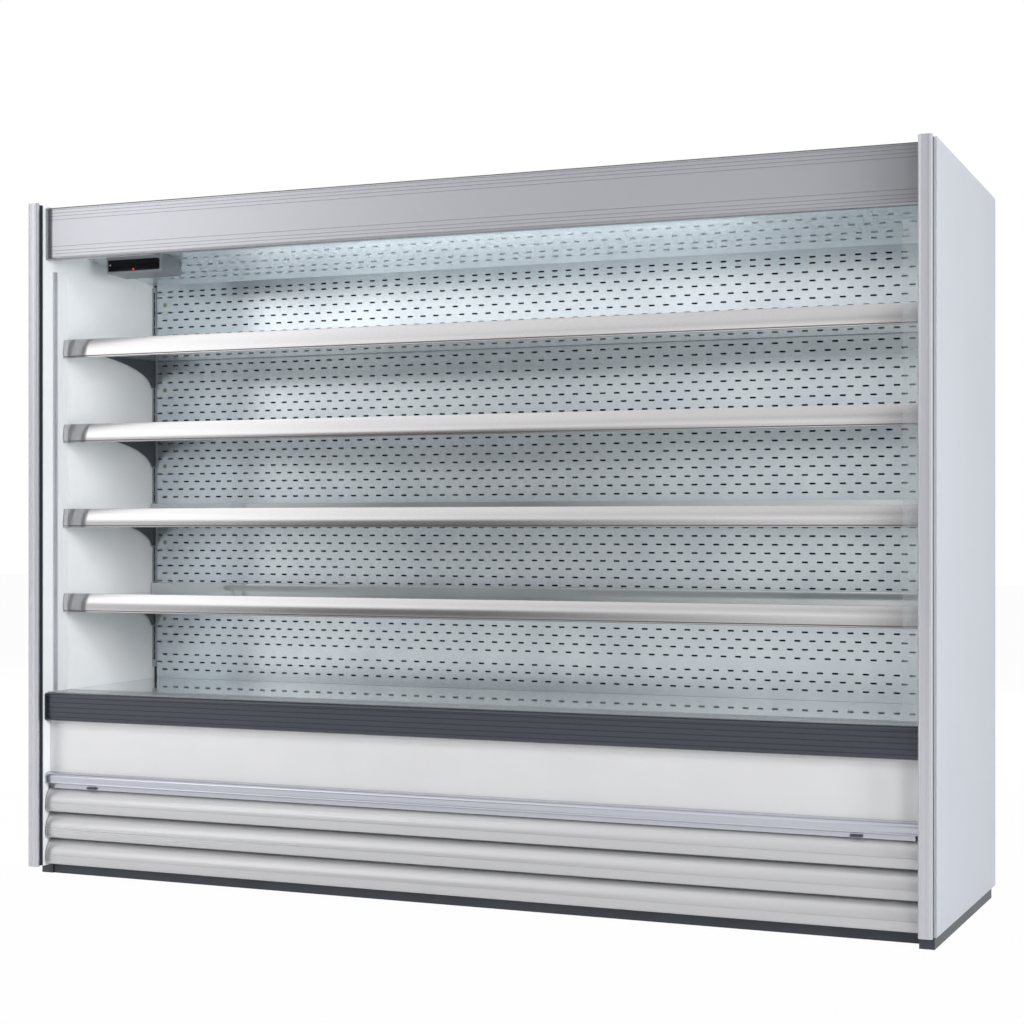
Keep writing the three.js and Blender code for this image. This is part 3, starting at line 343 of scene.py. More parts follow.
paint = {
    # the end panels' outer and inner faces take a darker and a lighter copy of one white enamel: painted
    # shade outside and painted light inside, evening out how much light each face gets
    "enamel": enamel("enamelPaint", "#D1D5DD", "#CED2DA", (0.58, 0.68), 0.10, 0.12, 1.36),
    "wall": enamel("innerFacePaintedLight", "#F1F3F5", "#E9ECEE", (0.34, 0.46), 0.08),
    # near-black sheet behind the back panels: painted shade for the dark duct
    "liner": plainPlastic("ductPaintedShade", "#0D0E10", "#08090A", (0.8, 0.95)),
    "front": enamel("frontEnamel", "#E0E0E2", "#DBDBDD", (0.30, 0.40), 0.12, 0.15, 1.62),
    "profile": anodised("profileAluminium", "#C8C9CF", "#BFC0C7", (60, 60, 0.5), (0.26, 0.28), 0.6),
    "canopy": anodised("canopyAluminium", "#9FA0A5", "#9C9DA2", (0.5, 60, 60), (0.16, 0.17), 0.72),
    "slat": anodised("slatAluminium", "#C7C7C9", "#C4C4C6", (0.5, 60, 60), (0.26, 0.275), 0.38),
    "trim": anodised("trimAluminium", "#BDC0C8", "#B7BAC2", (0.5, 60, 60), (0.165, 0.175), 0.7),
    "rail": anodised("railCoat", "#B8B7B8", "#B6B5B6", (0.5, 60, 60), (0.115, 0.125), 0.78),
    "back": polishedSheet("backPanelSheet", "#E1E9EE", "#D5DDE3", (0.23, 0.26), 0.76, 0.02),
    "deck": polishedSheet("deckSheet", "#E8EDEF", "#DDE3E5", (0.035, 0.05), 0.68, 0.02),
    "mesh": surfaceMaterial("meshSteel", {
        "light": "#D8DCDF", "dark": "#CCD1D5", "metallic": 0.6, "roughness": (0.25, 0.35),
        "cloudScale": 40, "grainScale": 240, "bump": 0.05, "bumpHeight": 0.1}),
    "ceiling": polishedSheet("ceilingSheet", "#E0E8EC", "#DAE2E7", (0.02, 0.03), 0.48, 0.01),
    "tray": polishedSheet("shelfSheet", "#E4E8E9", "#DCE1E2", (0.03, 0.05), 0.42, 0.01),
    "zinc": galvanisedSheet(),
    "fins": surfaceMaterial("finAluminium", {
        "light": "#D0D4D7", "dark": "#BFC4C8", "metallic": 0.9, "roughness": (0.3, 0.45),
        "grainScale": 1.0, "grainStretch": (2000, 20, 2), "bump": 0.3, "bumpHeight": 0.4}),
    "foam": plainPlastic("insulatedSkin", "#CDD1D5", "#C2C7CC", (0.42, 0.55), 0.12),
    "bumper": anodised("bumperPlastic", "#28303D", "#242B37", (0.5, 60, 60), (0.19, 0.21), 0.0, 1.62),
    "dark": plainPlastic("darkPlastic", "#3C424B", "#33383F", (0.42, 0.56)),
    "rubber": plainPlastic("sealRubber", "#272C36", "#212630", (0.72, 0.82)),
    # dark lines on the rails and the canopy: partly painted shade (under each rail, along the canopy's top
    # edge), partly a dark strip in each rail's groove
    "seam": plainPlastic("grooveStripAndPaintedShade", "#5C5A59", "#52504F", (0.5, 0.62)),
    "bracket": plainPlastic("bracketPaint", "#5D6165", "#54585C", (0.34, 0.46), 0.15),
    "case": plainPlastic("displayCase", "#8E9398", "#83888D", (0.36, 0.46), 0.12),
    "blackGloss": plainPlastic("displayBlack", "#0B0B0D", "#08080A", (0.10, 0.18), 0.02),
    "compressor": plainPlastic("compressorBlack", "#1C1D1F", "#141517", (0.28, 0.42), 0.2),
    "acrylic": clearAcrylic(),
    "plug": plainPlastic("amberPlug", "#A9A383", "#9C9677", (0.4, 0.5)),
    "lamp": glowingRed(),
    "white": plainPlastic("whiteDot", "#D9DADB", "#CFD0D1", (0.4, 0.5)),
    "screw": surfaceMaterial("zincScrew", {
        "light": "#8F9398", "dark": "#6E7277", "metallic": 0.8, "roughness": (0.3, 0.45)}),
}
print("materials made:", len(paint))

# ---- CAD nodes that keep their shape ----
keptNodes = {
    "zinc": ["base_frame", "rack_left", "rack_right", "fan_plate", "electrical_box", "condenser"],
    "trim": ["grille_frame"],
    "fins": ["evaporator_coil"],
    "dark": ["side_plinth_left", "side_plinth_right", "kick_plate", "power_switch",
             "grille_catch_left", "grille_catch_right", "condenser_fan",
             "evaporator_fan_left", "evaporator_fan_right",
             "foot_front_left", "foot_front_right", "foot_rear_left", "foot_rear_right"],
    "rubber": ["seal_strip_left", "seal_strip_right"],
    "foam": ["rear_wall", "insulated_tub", "roof_panel", "air_outlet"],
    "front": ["front_panel"],
    "deck": ["deck_pan"],
    "ceiling": ["ceiling_sheet"],
    "tray": ["shelf_tray_1", "shelf_tray_2", "shelf_tray_3", "shelf_tray_4"],
    "compressor": ["compressor"],
    "acrylic": ["wing_left", "wing_right"],
}
for finishName, nodeNames in keptNodes.items():
    for nodeName in nodeNames:
        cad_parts[nodeName].data.materials.clear()
        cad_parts[nodeName].data.materials.append(paint[finishName])
print("carried-over nodes painted:", sum(len(n) for n in keptNodes.values()))


# ---- end panels and upright profiles ----
endPanelLook = {
    "edge": 2.2 * mm,
    "rearDrop": 33 * mm,           # the top edge falls towards the back
    "rearRadius": 12 * mm,
}


def buildEndPanel(name, side):
    node = "end_panel_" + name
    x0, x1, y0, y1, z0, z1 = corners(node)
    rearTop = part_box("end_panel_" + name)[1].z - endPanelLook["rearDrop"]
    loop = filletLoop([(y0, z0), (y1, z0), (y1, rearTop, endPanelLook["rearRadius"]), (y0, z1)], 6)
    panel = softenEdges(extruded(node + "_skin", loop, "x", x0, x1), endPanelLook["edge"], 3)
    place(panel, "cabinet", "white_enamel", paint["enamel"], node)
    panel.data.materials.append(paint["wall"])
    for face in panel.data.polygons:
        face.material_index = 1 if face.normal.x * side < -0.9 else 0      # painted light: the inner face gets a lighter copy of the enamel


profileLook = {
    "radius": 8.5 * mm,
    "edge": 0.5 * mm,
    "grooves": (9.0, 19.0, 22.5),    # distances from the inner edge, mm
    "grooveWidth": 1.0 * mm,
    "grooveDepth": 0.5 * mm,
}


def buildFrontProfile(name, side):
    node = "front_profile_" + name
    x0, x1, y0, y1, z0, z1 = corners(node)
    inner, outer = (x1, x0) if side < 0 else (x0, x1)
    radius = profileLook["radius"]
    step = profileLook["grooveWidth"] / 2
    loop = [(inner, y1), (inner, y0 + radius)]
    loop += arcPoints((inner + side * radius, y0 + radius), -side * radius, -radius, 0, 90, 7)[1:]
    for offset in profileLook["grooves"]:
        x = inner + side * offset * mm
        loop += [(x - side * step, y0), (x, y0 + profileLook["grooveDepth"]), (x + side * step, y0)]
    loop += arcPoints((outer - side * radius, y0 + radius), side * radius, -radius, 90, 0, 7)
    loop += [(outer, y1)]
    profile = softenEdges(extruded(node + "_extrusion", loop, "z", z0, z1, 25), profileLook["edge"], 1, 60)
    place(profile, "cabinet", "anodised_aluminium", paint["profile"], node)


for sideName, sideSign in sides:
    buildEndPanel(sideName, sideSign)
    buildFrontProfile(sideName, sideSign)
print("end walls built")

# ---- sheets on the back and the roof ----
claddingLook = {
    "count": 3,
    "gap": 0.1 * mm,               # sheet to the panel that it covers
    "seam": 3 * mm,
    "margin": 5 * mm,
    "sheet": 1.2 * mm,
    "ribs": (0.25, 0.5, 0.75),     # share of each sheet's width
    "ribWidth": 34 * mm,
    "ribRise": 3 * mm,
    "ribSlope": 5 * mm,
    "screwInset": 14 * mm,
    "screwPitch": 250 * mm,
}


def ribbedOutline(start, end, base):
    look = claddingLook
    face = base + look["sheet"]
    loop = [(start, base), (start, face)]
    for share in look["ribs"]:
        middle = start + (end - start) * share
        half = look["ribWidth"] / 2
        slope = look["ribSlope"]
        loop += [(middle - half - slope, face), (middle - half, face + look["ribRise"]),
                 (middle + half, face + look["ribRise"]), (middle + half + slope, face)]
    loop += [(end, face), (end, base)]
    return loop


def evenly(start, end, pitch):
    count = max(1, round((end - start) / pitch))
    return [start + (end - start) * k / count for k in range(count + 1)]


def buildCladding(name, node, axis, slotName, material):
    # sheets side by side over a node's outer face: "z" runs up the back, "y" runs back over the roof
    look = claddingLook
    x0, x1, y0, y1, z0, z1 = corners(node)
    base = (y1 if axis == "z" else z1) + look["gap"]
    low, high = (z0, z1) if axis == "z" else (y0, y1)
    normal = (0, 1, 0) if axis == "z" else (0, 0, 1)
    margin = look["margin"]
    x0, x1, low, high = x0 + margin, x1 - margin, low + margin, high - margin
    pitch = (x1 - x0 + look["seam"]) / look["count"]
    screws = bmesh.new()
    for k in range(look["count"]):
        start = x0 + k * pitch
        end = start + pitch - look["seam"]
        sheet = extruded(f"{name}_sheet_{k + 1}", ribbedOutline(start, end, base), axis, low, high, 20)
        place(sheet, "cabinet", slotName, material)
        inset = look["screwInset"]
        along = evenly(low + inset, high - inset, look["screwPitch"])
        for x in (start + inset, end - inset):
            for w in along:
                point = (x, base + look["sheet"], w) if axis == "z" else (x, w, base + look["sheet"])
                addScrew(screws, point, normal)
    place(pieceFromBmesh(name + "_screws", screws), "cabinet", slotName, paint["screw"])


buildCladding("rear", "rear_wall", "z", "galvanised_sheet", paint["zinc"])
buildCladding("roof", "roof_panel", "y", "galvanised_sheet", paint["zinc"])
print("back and roof sheeted")

# ---- canopy ----
canopyLook = {
    "wall": 3 * mm,
    "lipDepth": 22 * mm,
    "lipRise": 18.5 * mm,
    "lipRadius": 6 * mm,
    "topRadius": 1.5 * mm,
    "grooveWidth": 1.8 * mm,
    "grooveDepth": 1.1 * mm,
    "upper": (6, 15, 24, 34),          # mm below the top edge
    "lower": (7, 16, 25, 37),          # mm above the lower edge
    "darkEdgeDrop": 2.2 * mm,              # below the top edge
    "darkEdgeDepth": 5 * mm,
    "darkEdgeProud": 0.2 * mm,
    "darkEdgeCrown": 0.4 * mm,
    "darkEdgeRadius": 0.8 * mm,
}


def notches(front, heights, width, depth):
    points = []
    for z in heights:
        points += [(front, z - width / 2), (front + depth, z - width / 4),
                   (front + depth, z + width / 4), (front, z + width / 2)]
    return points


def buildCanopy():
    x0, x1, y0, y1, z0, z1 = corners("canopy_fascia")
    look = canopyLook
    wall = look["wall"]
    lipRear = y0 + look["lipDepth"]
    radius = look["lipRadius"]
    heights = [z0 + rise * mm for rise in look["lower"]]
    heights += [z1 - drop * mm for drop in reversed(look["upper"])]
    loop = [(lipRear, z0)]
    loop += arcPoints((y0 + radius, z0 + radius), -radius, -radius, 90, 0, 6)
    loop += notches(y0, heights, look["grooveWidth"], look["grooveDepth"])
    top = look["topRadius"]
    loop += arcPoints((y0 + top, z1 - top), -top, top, 0, 90, 3)
    loop += [(y1, z1), (y1, z1 - wall), (y0 + wall, z1 - wall), (y0 + wall, z0 + radius)]
    loop += [(y0 + radius, z0 + wall), (lipRear - wall, z0 + wall), (lipRear - wall, z0 + look["lipRise"]),
             (lipRear, z0 + look["lipRise"])]
    canopy = extruded("canopy_extrusion", loop, "x", x0, x1, 28)
    place(canopy, "cabinet", "anodised_aluminium", paint["canopy"], "canopy_fascia")
    # dark strip along the canopy's top edge: painted reflection, standing in for the dark that the rounded
    # top edge reflects
    low, high = z1 - look["darkEdgeDrop"], z1 + look["darkEdgeCrown"]
    front, rear = y0 - look["darkEdgeProud"], y0 + look["darkEdgeDepth"]
    darkEdge = filletLoop([(front, low), (rear, low), (rear, high), (front, high, look["darkEdgeRadius"])], 4)
    place(extruded("canopy_bead", darkEdge, "x", x0, x1), "cabinet", "dark_plastic", paint["seam"])


buildCanopy()
print("canopy built")


# ---- slotted back panels and the mesh grille ----
def joinRings(work, first, last):
    count = len(first)
    for i in range(count):
        work.faces.new((first[i], first[(i + 1) % count], last[(i + 1) % count], last[i]))


def perforatedSheet(lines, rows, spanV, hole, mapping, thickness, lip=0.0):
    # lines: hole columns (evenHoles, oddHoles, start, end); rows: (v, odd, skipped columns) from low to high
    evenHoles, oddHoles, start, end = lines
    allLines = sorted([start, end] + list(evenHoles) + list(oddHoles))
    index = {round(u, 6): i for i, u in enumerate(allLines)}
    bounds = [spanV[0]] + [(a[0] + b[0]) / 2 for a, b in zip(rows, rows[1:])] + [spanV[1]]
    work = bmesh.new()
    layers = []
    for depth in (0.0, thickness):
        layers.append([[work.verts.new(mapping(u, v, depth)) for u in allLines] for v in bounds])
    for r, (v, odd, skipped) in enumerate(rows):
        holes = list(oddHoles if odd else evenHoles)
        between = list(evenHoles if odd else oddHoles)
        for left, right in zip([start] + between, between + [end]):
            inside = [u for u in holes if left < u < right]
            a, b = index[round(left, 6)], index[round(right, 6)]
            centre = inside[0] if inside else None
            closed = centre is None or round(centre, 6) in skipped
            rings = []
            for layer, depth in zip(layers, (0.0, thickness)):
                low, high = layer[r], layer[r + 1]
                flip = depth > 0
                if closed:
                    ring = [low[i] for i in range(a, b + 1)] + [high[i] for i in range(b, a - 1, -1)]
                    work.faces.new(list(reversed(ring)) if flip else ring)
                    continue
                m = index[round(centre, 6)]
                drop = 0.0 if flip else lip
                places = [(centre + u, v + w - (drop if w < 0 else 0)) for u, w in hole]
                points = [work.verts.new(mapping(u, w, depth)) for u, w in places]
                rings.append(points)
                half = len(points) // 2
                rightHalf = [low[m], low[b], high[b], high[m]] + [points[i] for i in range(half, -1, -1)]
                leftHalf = [high[m], high[a], low[a], low[m], points[0]]
                leftHalf += [points[i] for i in range(len(points) - 1, half - 1, -1)]
                for face in (rightHalf, leftHalf):
                    work.faces.new(list(reversed(face)) if flip else face)
            if rings:
                joinRings(work, *rings)
    rims = []
    for layer in layers:
        rim = layer[0] + [row[-1] for row in layer[1:-1]] + list(reversed(layer[-1]))
        rims.append(rim + [row[0] for row in reversed(layer[1:-1])])
    joinRings(work, *rims)
    return work


backPanelLook = {
    "slotHalf": 8.8 * mm,
    "slotHeight": 4.0 * mm,
    "slotLip": 1.0 * mm,           # rolled lower lip of each slot
    "firstSlot": -1224 * mm,
    "closePitch": 38.4 * mm,
    "closeCount": 17,              # slots at the closer pitch, from the left
    "widePitch": 41.5 * mm,
    "slotCount": 61,
    "rowPitch": 23.5 * mm,
    "lowerFirst": 1437.5 * mm,     # rows counted down from the seam
    "lowerRows": 35,
    "footRows": (600, 577, 553.5), # mm, below the fold line at the bottom
    "upperFirst": 1465.4 * mm,
    "upperRows": 11,
    "topRow": 1717 * mm,
    "plugRows": (1, 11, 21, 31),
    "upperPlugRow": 9,
    "sheet": 1.5 * mm,
    "flangeInset": 0.2 * mm,       # folded edges to the sheet's rear face
}


def slotColumns(look):
    even = []
    for k in range(look["slotCount"]):
        close = min(k, look["closeCount"] - 1)
        even.append(look["firstSlot"] + close * look["closePitch"] + (k - close) * look["widePitch"])
    odd = [(a + b) / 2 for a, b in zip(even, even[1:])]
    return even, odd


def slotOutline(half, height):
    h = height / 2
    right = [(half - h, -h), (half - 0.3 * h, -0.7 * h), (half, 0), (half - 0.3 * h, 0.7 * h), (half - h, h)]
    left = [(-u, w) for u, w in reversed(right)]
    return [(0, -h)] + right + [(0, h)] + left


def buildBackPanel(node, rows):
    x0, x1, y0, y1, z0, z1 = corners(node)
    look = backPanelLook
    even, odd = slotColumns(look)
    hole = slotOutline(look["slotHalf"], look["slotHeight"])

    def mapping(u, v, depth):
        return (u, y0 + depth, v)

    sheet = look["sheet"]
    work = perforatedSheet((even, odd, x0, x1), rows, (z0, z1), hole, mapping, sheet, look["slotLip"])
    for low, high in ((z0, z0 + sheet), (z1 - sheet, z1)):
        addBox(work, x0, x1, y0 + sheet + look["flangeInset"], y1, low, high)
    panel = pieceFromBmesh(node + "_slotted", work, 30)
    place(panel, "cabinet", "polished_sheet", paint["back"], node)


def backPanelRows():
    look = backPanelLook
    firstOdd = round(slotColumns(look)[1][0], 6)
    lower = []
    plugs = []
    for k in range(look["lowerRows"]):
        z = look["lowerFirst"] - k * look["rowPitch"]
        skipped = [firstOdd] if k in look["plugRows"] else []
        plugs += [z] if skipped else []
        lower.append((z, k % 2 == 1, skipped))
    for i, z in enumerate(look["footRows"]):
        lower.append((z * mm, i != 1, []))
    lower.reverse()
    upper = []
    for k in range(look["upperRows"]):
        z = look["upperFirst"] + k * look["rowPitch"]
        skipped = [firstOdd] if k == look["upperPlugRow"] else []
        plugs += [z] if skipped else []
        upper.append((z, k % 2 == 1, skipped))
    upper.append((look["topRow"], False, []))
    return lower, upper, plugs, firstOdd


lowerRows, upperRows, plugHeights, plugX = backPanelRows()
buildBackPanel("back_panel_lower", lowerRows)
buildBackPanel("back_panel_upper", upperRows)


plugLook = {
    "sink": 0.3 * mm,
    "rings": ((6.5 * mm, 0), (6.5 * mm, 0.9 * mm), (5.2 * mm, 1.6 * mm), (2 * mm, 1.9 * mm)),
}


def buildPlugs():
    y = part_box("back_panel_lower")[0].y
    work = bmesh.new()
    for z in plugHeights:
        addDisc(work, (plugX, y + plugLook["sink"], z), (0, -1, 0), plugLook["rings"])
    place(pieceFromBmesh("back_panel_plugs", work), "cabinet", "dark_plastic", paint["plug"])


ductShadeLook = {"thickness": 0.8 * mm, "gap": 0.2 * mm, "edge": 0.2 * mm}


def buildDuctShadeSheet():
    # painted shade: a near-black sheet on the duct side of the rear wall stands in for the unlit duct behind
    # the slots
    panelLow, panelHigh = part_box("back_panel_lower")
    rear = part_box("rear_wall")[0].y - ductShadeLook["gap"]
    front = rear - ductShadeLook["thickness"]
    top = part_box("back_panel_upper")[1].z
    liner = boxPiece("duct_liner", panelLow.x, panelHigh.x, front, rear, panelLow.z, top)
    place(softenEdges(liner, ductShadeLook["edge"], 1), "cabinet", "insulated_panel", paint["liner"])


buildPlugs()
buildDuctShadeSheet()
print("back panels slotted")

meshLook = {
    "pitch": 13.0 * mm,
    "row": 6.5 * mm,
    "holeHalf": 5.4 * mm,
    "holeRise": 2.5 * mm,
    "border": 8 * mm,
    "depthShare": 0.7,             # of the node's height
    "lipDepth": 5 * mm,
    "lipRise": 0.6 * mm,
    "lipFrontRadius": 1.2 * mm,
    "lipRearRadius": 0.6 * mm,
}


def buildReturnGrille():
    x0, x1, y0, y1, z0, z1 = corners("return_air_grille")
    look = meshLook
    count = int((x1 - x0 - 2 * look["border"]) / look["pitch"])
    first = -count * look["pitch"] / 2
    even = [first + look["pitch"] * (k + 0.5) for k in range(count)]
    odd = [(a + b) / 2 for a, b in zip(even, even[1:])]
    rowCount = int((y1 - y0 - 2 * look["border"]) / look["row"])
    middle = (y0 + y1) / 2
    rows = [(middle + (k - (rowCount - 1) / 2) * look["row"], k % 2 == 1, []) for k in range(rowCount)]
    a, b = look["holeHalf"], look["holeRise"]
    hole = [(0, -b), (a, 0), (0, b), (-a, 0)]

    def mapping(u, v, depth):
        return (u, v, z1 - depth)

    depth = (z1 - z0) * look["depthShare"]
    work = perforatedSheet((even, odd, x0, x1), rows, (y0, y1), hole, mapping, depth)
    grille = pieceFromBmesh("return_air_mesh", work, 30)
    place(grille, "cabinet", "grille_mesh", paint["mesh"], "return_air_grille")
    rear, top = y0 + look["lipDepth"], z1 + look["lipRise"]
    lip = filletLoop([(y0, z0), (rear, z0), (rear, top, look["lipRearRadius"]),
                      (y0, top, look["lipFrontRadius"])], 4)
    edge = extruded("return_air_lip", lip, "x", x0, x1)
    place(edge, "cabinet", "grille_mesh", paint["trim"])


buildReturnGrille()
print("return-air mesh built")

# ---- shelves ----
railLook = {
    "lean": 6.5 * mm,           # the face leans back towards its top
    "roll": 0.6 * mm,
    "steps": 16,
    "lip": 6.5 * mm,
    "lipGroove": 2.6 * mm,
    "grooveRise": 2.6 * mm,
    "lipInset": 0.4 * mm,
    "lipCornerRise": 0.6 * mm,
    "lipCornerDepth": 1 * mm,
    "capThickness": 1.5 * mm,
    "darkLineHeights": ((0.2 * mm, 1.5 * mm), (4.0 * mm, 6.2 * mm)),    # dark lines above the lower edge: the lower one is painted shade under the rail, the upper one a dark strip in the groove
    "darkLineInset": 0.3 * mm,
    "darkLineRear": 3 * mm,
}
bracketLook = {
    "thickness": 3 * mm,
    "steps": 28,
    "toe": 12 * mm,
    "edge": 0.5 * mm,
    "gap": 0.3 * mm,
    "trayDrop": 28 * mm,           # top of the upstand to the tray's surface
    "traySheet": 1.5 * mm,
    "hookRear": 0.5 * mm,          # how far a hook starts in front of its rack
    "hookSpan": (20 * mm, 9 * mm),     # below the plate's top
    "beam": (30 * mm, 2 * mm),         # from the tray's rear edge
    "beamRise": 2.1 * mm,
}


def priceRailLoop(y0, y1, z0, z1):
    look = railLook
    faceBase = z0 + look["lip"]
    height = z1 - faceBase
    loop = [(y1, z1)]
    steps = look["steps"]
    for k in range(steps + 1):
        t = k / steps
        loop.append((y0 + look["lean"] * (1 - t) ** 2, z1 - look["roll"] * (1 - t) ** 3 - height * t))
    grooveY = y0 + look["lipGroove"]
    grooveLow = faceBase - look["grooveRise"]
    lipY = y0 + look["lipInset"]
    loop += [(grooveY, faceBase), (grooveY, grooveLow), (lipY, grooveLow - look["lipInset"]),
             (lipY, z0 + look["lipCornerRise"]), (y0 + look["lipCornerDepth"], z0), (y1, z0)]
    return loop


def buildPriceRail(number):
    node = f"price_rail_{number}"
    x0, x1, y0, y1, z0, z1 = corners(node)
    cap = railLook["capThickness"]
    loop = priceRailLoop(y0, y1, z0, z1)
    rail = extruded(node + "_face", loop, "x", x0 + cap, x1 - cap, 25)
    place(rail, f"shelf_{number}", "price_rail_plastic", paint["rail"], node)
    ends = bmesh.new()
    for a, b in ((x0, x0 + cap), (x1 - cap, x1)):
        addLoop(ends, loop, "x", a, b)
    # the lower dark line is painted shade under the rail; the upper one is a dark strip in the groove
    darkLines = bmesh.new()
    inset = railLook["darkLineInset"]
    front, rear = y0 + inset, y0 + railLook["darkLineRear"]
    for low, high in railLook["darkLineHeights"]:
        seam = [(rear, z0 + low), (rear, z0 + high), (front, z0 + high - inset), (front, z0 + low + inset)]
        addLoop(darkLines, seam, "x", x0 + cap, x1 - cap)
    place(pieceFromBmesh(node + "_seams", darkLines, 25), f"shelf_{number}", "price_rail_plastic", paint["seam"])
    place(pieceFromBmesh(node + "_ends", ends, 25), f"shelf_{number}", "price_rail_plastic", paint["case"])


def bracketLoop(front, under, tip, rear):
    toe = rear - bracketLook["toe"]
    loop = [(front, under)]
    loop += arcPoints((front, tip), toe - front, under - tip, 90, 0, bracketLook["steps"])[1:]
    return loop + [(rear, tip + (rear - toe) / 2), (rear, under)]


def buildShelfFrame(number):
    node = f"shelf_frame_{number}"
    x0, x1, y0, y1, z0, z1 = corners(node)
    trayLow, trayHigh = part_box(f"shelf_tray_{number}")
    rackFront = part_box("rack_left")[0].y
    look = bracketLook
    gap = look["gap"]
    rear = rackFront - gap
    under = trayLow.z - gap
    plateTop = trayHigh.z - look["trayDrop"] - look["traySheet"] - gap
    work = bmesh.new()
    thickness = look["thickness"]
    hookLow, hookHigh = [plateTop - drop for drop in look["hookSpan"]]
    for side in (-1, 1):
        outer = side * x1
        a, b = sorted((outer, outer - side * thickness))
        addLoop(work, bracketLoop(y0, under, z0, rear), "x", a, b)
        addBox(work, a, b, trayHigh.y + gap, rear, under, plateTop)
        addBox(work, a, b, rackFront - look["hookRear"], y1, hookLow, hookHigh)
    beamFront, beamRear = [trayHigh.y - inset for inset in look["beam"]]
    addBox(work, x0 + thickness, x1 - thickness, beamFront, beamRear, under + look["beamRise"], plateTop)
    shelfFrame = pieceFromBmesh(node + "_brackets", work, 30)
    softenEdges(shelfFrame, look["edge"], 2, 50)
    place(shelfFrame, f"shelf_{number}", "bracket_steel", paint["bracket"], node)


for shelfNumber in range(1, 5):
    buildPriceRail(shelfNumber)
    buildShelfFrame(shelfNumber)
print("shelves built")

# ---- bumper and trim rail ----
bumperLook = {
    "radius": 8 * mm,
    "grooves": (12, 25, 39, 53, 66),   # mm above the lower edge
    "width": 2.0 * mm,
    "depth": 1.2 * mm,
}


def buildBumper():
    x0, x1, y0, y1, z0, z1 = corners("bumper")
    radius = bumperLook["radius"]
    heights = [z0 + rise * mm for rise in bumperLook["grooves"]]
    loop = [(y1, z1), (y1, z0)]
    loop += arcPoints((y0 + radius, z0 + radius), -radius, -radius, 90, 0, 7)
    loop += notches(y0, heights, bumperLook["width"], bumperLook["depth"])
    loop += arcPoints((y0 + radius, z1 - radius), -radius, radius, 0, 90, 7)
    bumper = extruded("bumper_ribbed", loop, "x", x0, x1, 28)
    place(bumper, "cabinet", "bumper_plastic", paint["bumper"], "bumper")


trimLook = {
    "shoulder": 14 * mm,
    "crown": 4 * mm,
    "chamfer": 3 * mm,
    "groove": 0.9 * mm,
    "grooveFront": 0.8 * mm,
    "topChamfer": 1 * mm,
    "steps": 8,
    "lineDepth": 0.6 * mm,         # fine line near the lower edge
    "lineHalf": 1.6 * mm,
    "lineTop": 5 * mm,
}


def buildTrimRail():
    x0, x1, y0, y1, z0, z1 = corners("trim_rail")
    look = trimLook
    shoulderY = y1 - look["shoulder"]
    crownZ = z1 - look["crown"] / 2
    chamfer = look["topChamfer"]
    loop = [(y1, z1), (shoulderY + chamfer, z1 - chamfer), (shoulderY, crownZ - look["groove"])]
    start = Vector((shoulderY - look["grooveFront"], crownZ))
    bend = Vector((y0, z1 - look["crown"]))
    end = Vector((y0, z1 - look["shoulder"]))
    for k in range(look["steps"] + 1):
        t = k / look["steps"]
        loop.append(tuple(start * (1 - t) ** 2 + bend * 2 * t * (1 - t) + end * t * t))
    lip = z0 + look["chamfer"]
    lineY = y0 + look["lineDepth"]
    half = look["lineHalf"]
    loop += [(lineY, lip + look["lineTop"]), (lineY, lip + half), (y0, lip), (lineY, lip - half),
             (y0 + look["chamfer"], z0), (y1, z0)]
    rail = extruded("trim_rail_extrusion", loop, "x", x0, x1, 28)
    place(rail, "cabinet", "anodised_aluminium", paint["trim"], "trim_rail")


buildBumper()
buildTrimRail()
print("bumper and trim rail built")

# ---- louvre slats ----
slatLook = {
    "wall": 2.5 * mm,
    "bulgeRise": 21 * mm,
    "footRise": 13 * mm,
    "foldDepth": 7 * mm,
    "lip": 15 * mm,
    "grooveRise": 26 * mm,        # lower edge to the fine groove
    "grooveWidth": 1.4 * mm,
    "grooveDepth": 0.8 * mm,
    "steps": 22,
}


def buildSlat(number):
    node = f"louvre_slat_{number}"
    x0, x1, y0, y1, z0, z1 = corners(node)
    look = slatLook
    wall = look["wall"]
    bulge = z0 + look["bulgeRise"]
    reach = y1 - y0
    rise = z1 - bulge
    outer = arcPoints((y1, bulge), -reach, rise, 90, 0, look["steps"])
    grooveZ = z0 + look["grooveRise"]
    above = [p for p in outer if p[1] > grooveZ + look["grooveWidth"]]
    below = [p for p in outer if p[1] < grooveZ - look["grooveWidth"]]
    grooveY = y1 - reach * math.sin(math.acos((grooveZ - bulge) / rise))
    half = look["grooveWidth"] / 2
    groove = [(grooveY, grooveZ + half), (grooveY + look["grooveDepth"], grooveZ), (grooveY, grooveZ - half)]
    foot = z0 + look["footRise"]
    radius = look["foldDepth"]
    fold = y0 + radius
    inner = arcPoints((y1, bulge), wall - reach, rise - wall, 90, 0, look["steps"] // 2)
    loop = above + groove + below + [(y0, foot)]
    loop += arcPoints((fold, z0 + radius), -radius, -radius, 20, 90, 6)
    loop += [(fold + look["lip"], z0), (fold + look["lip"], z0 + wall), (fold, z0 + wall), (y0 + wall, foot)]
    loop += list(reversed(inner))
    slat = extruded(node + "_blade", loop, "x", x0, x1, 30)
    place(slat, "lower_grille", "anodised_aluminium", paint["slat"], node)


for slatNumber in range(1, 4):
    buildSlat(slatNumber)
print("louvres built")

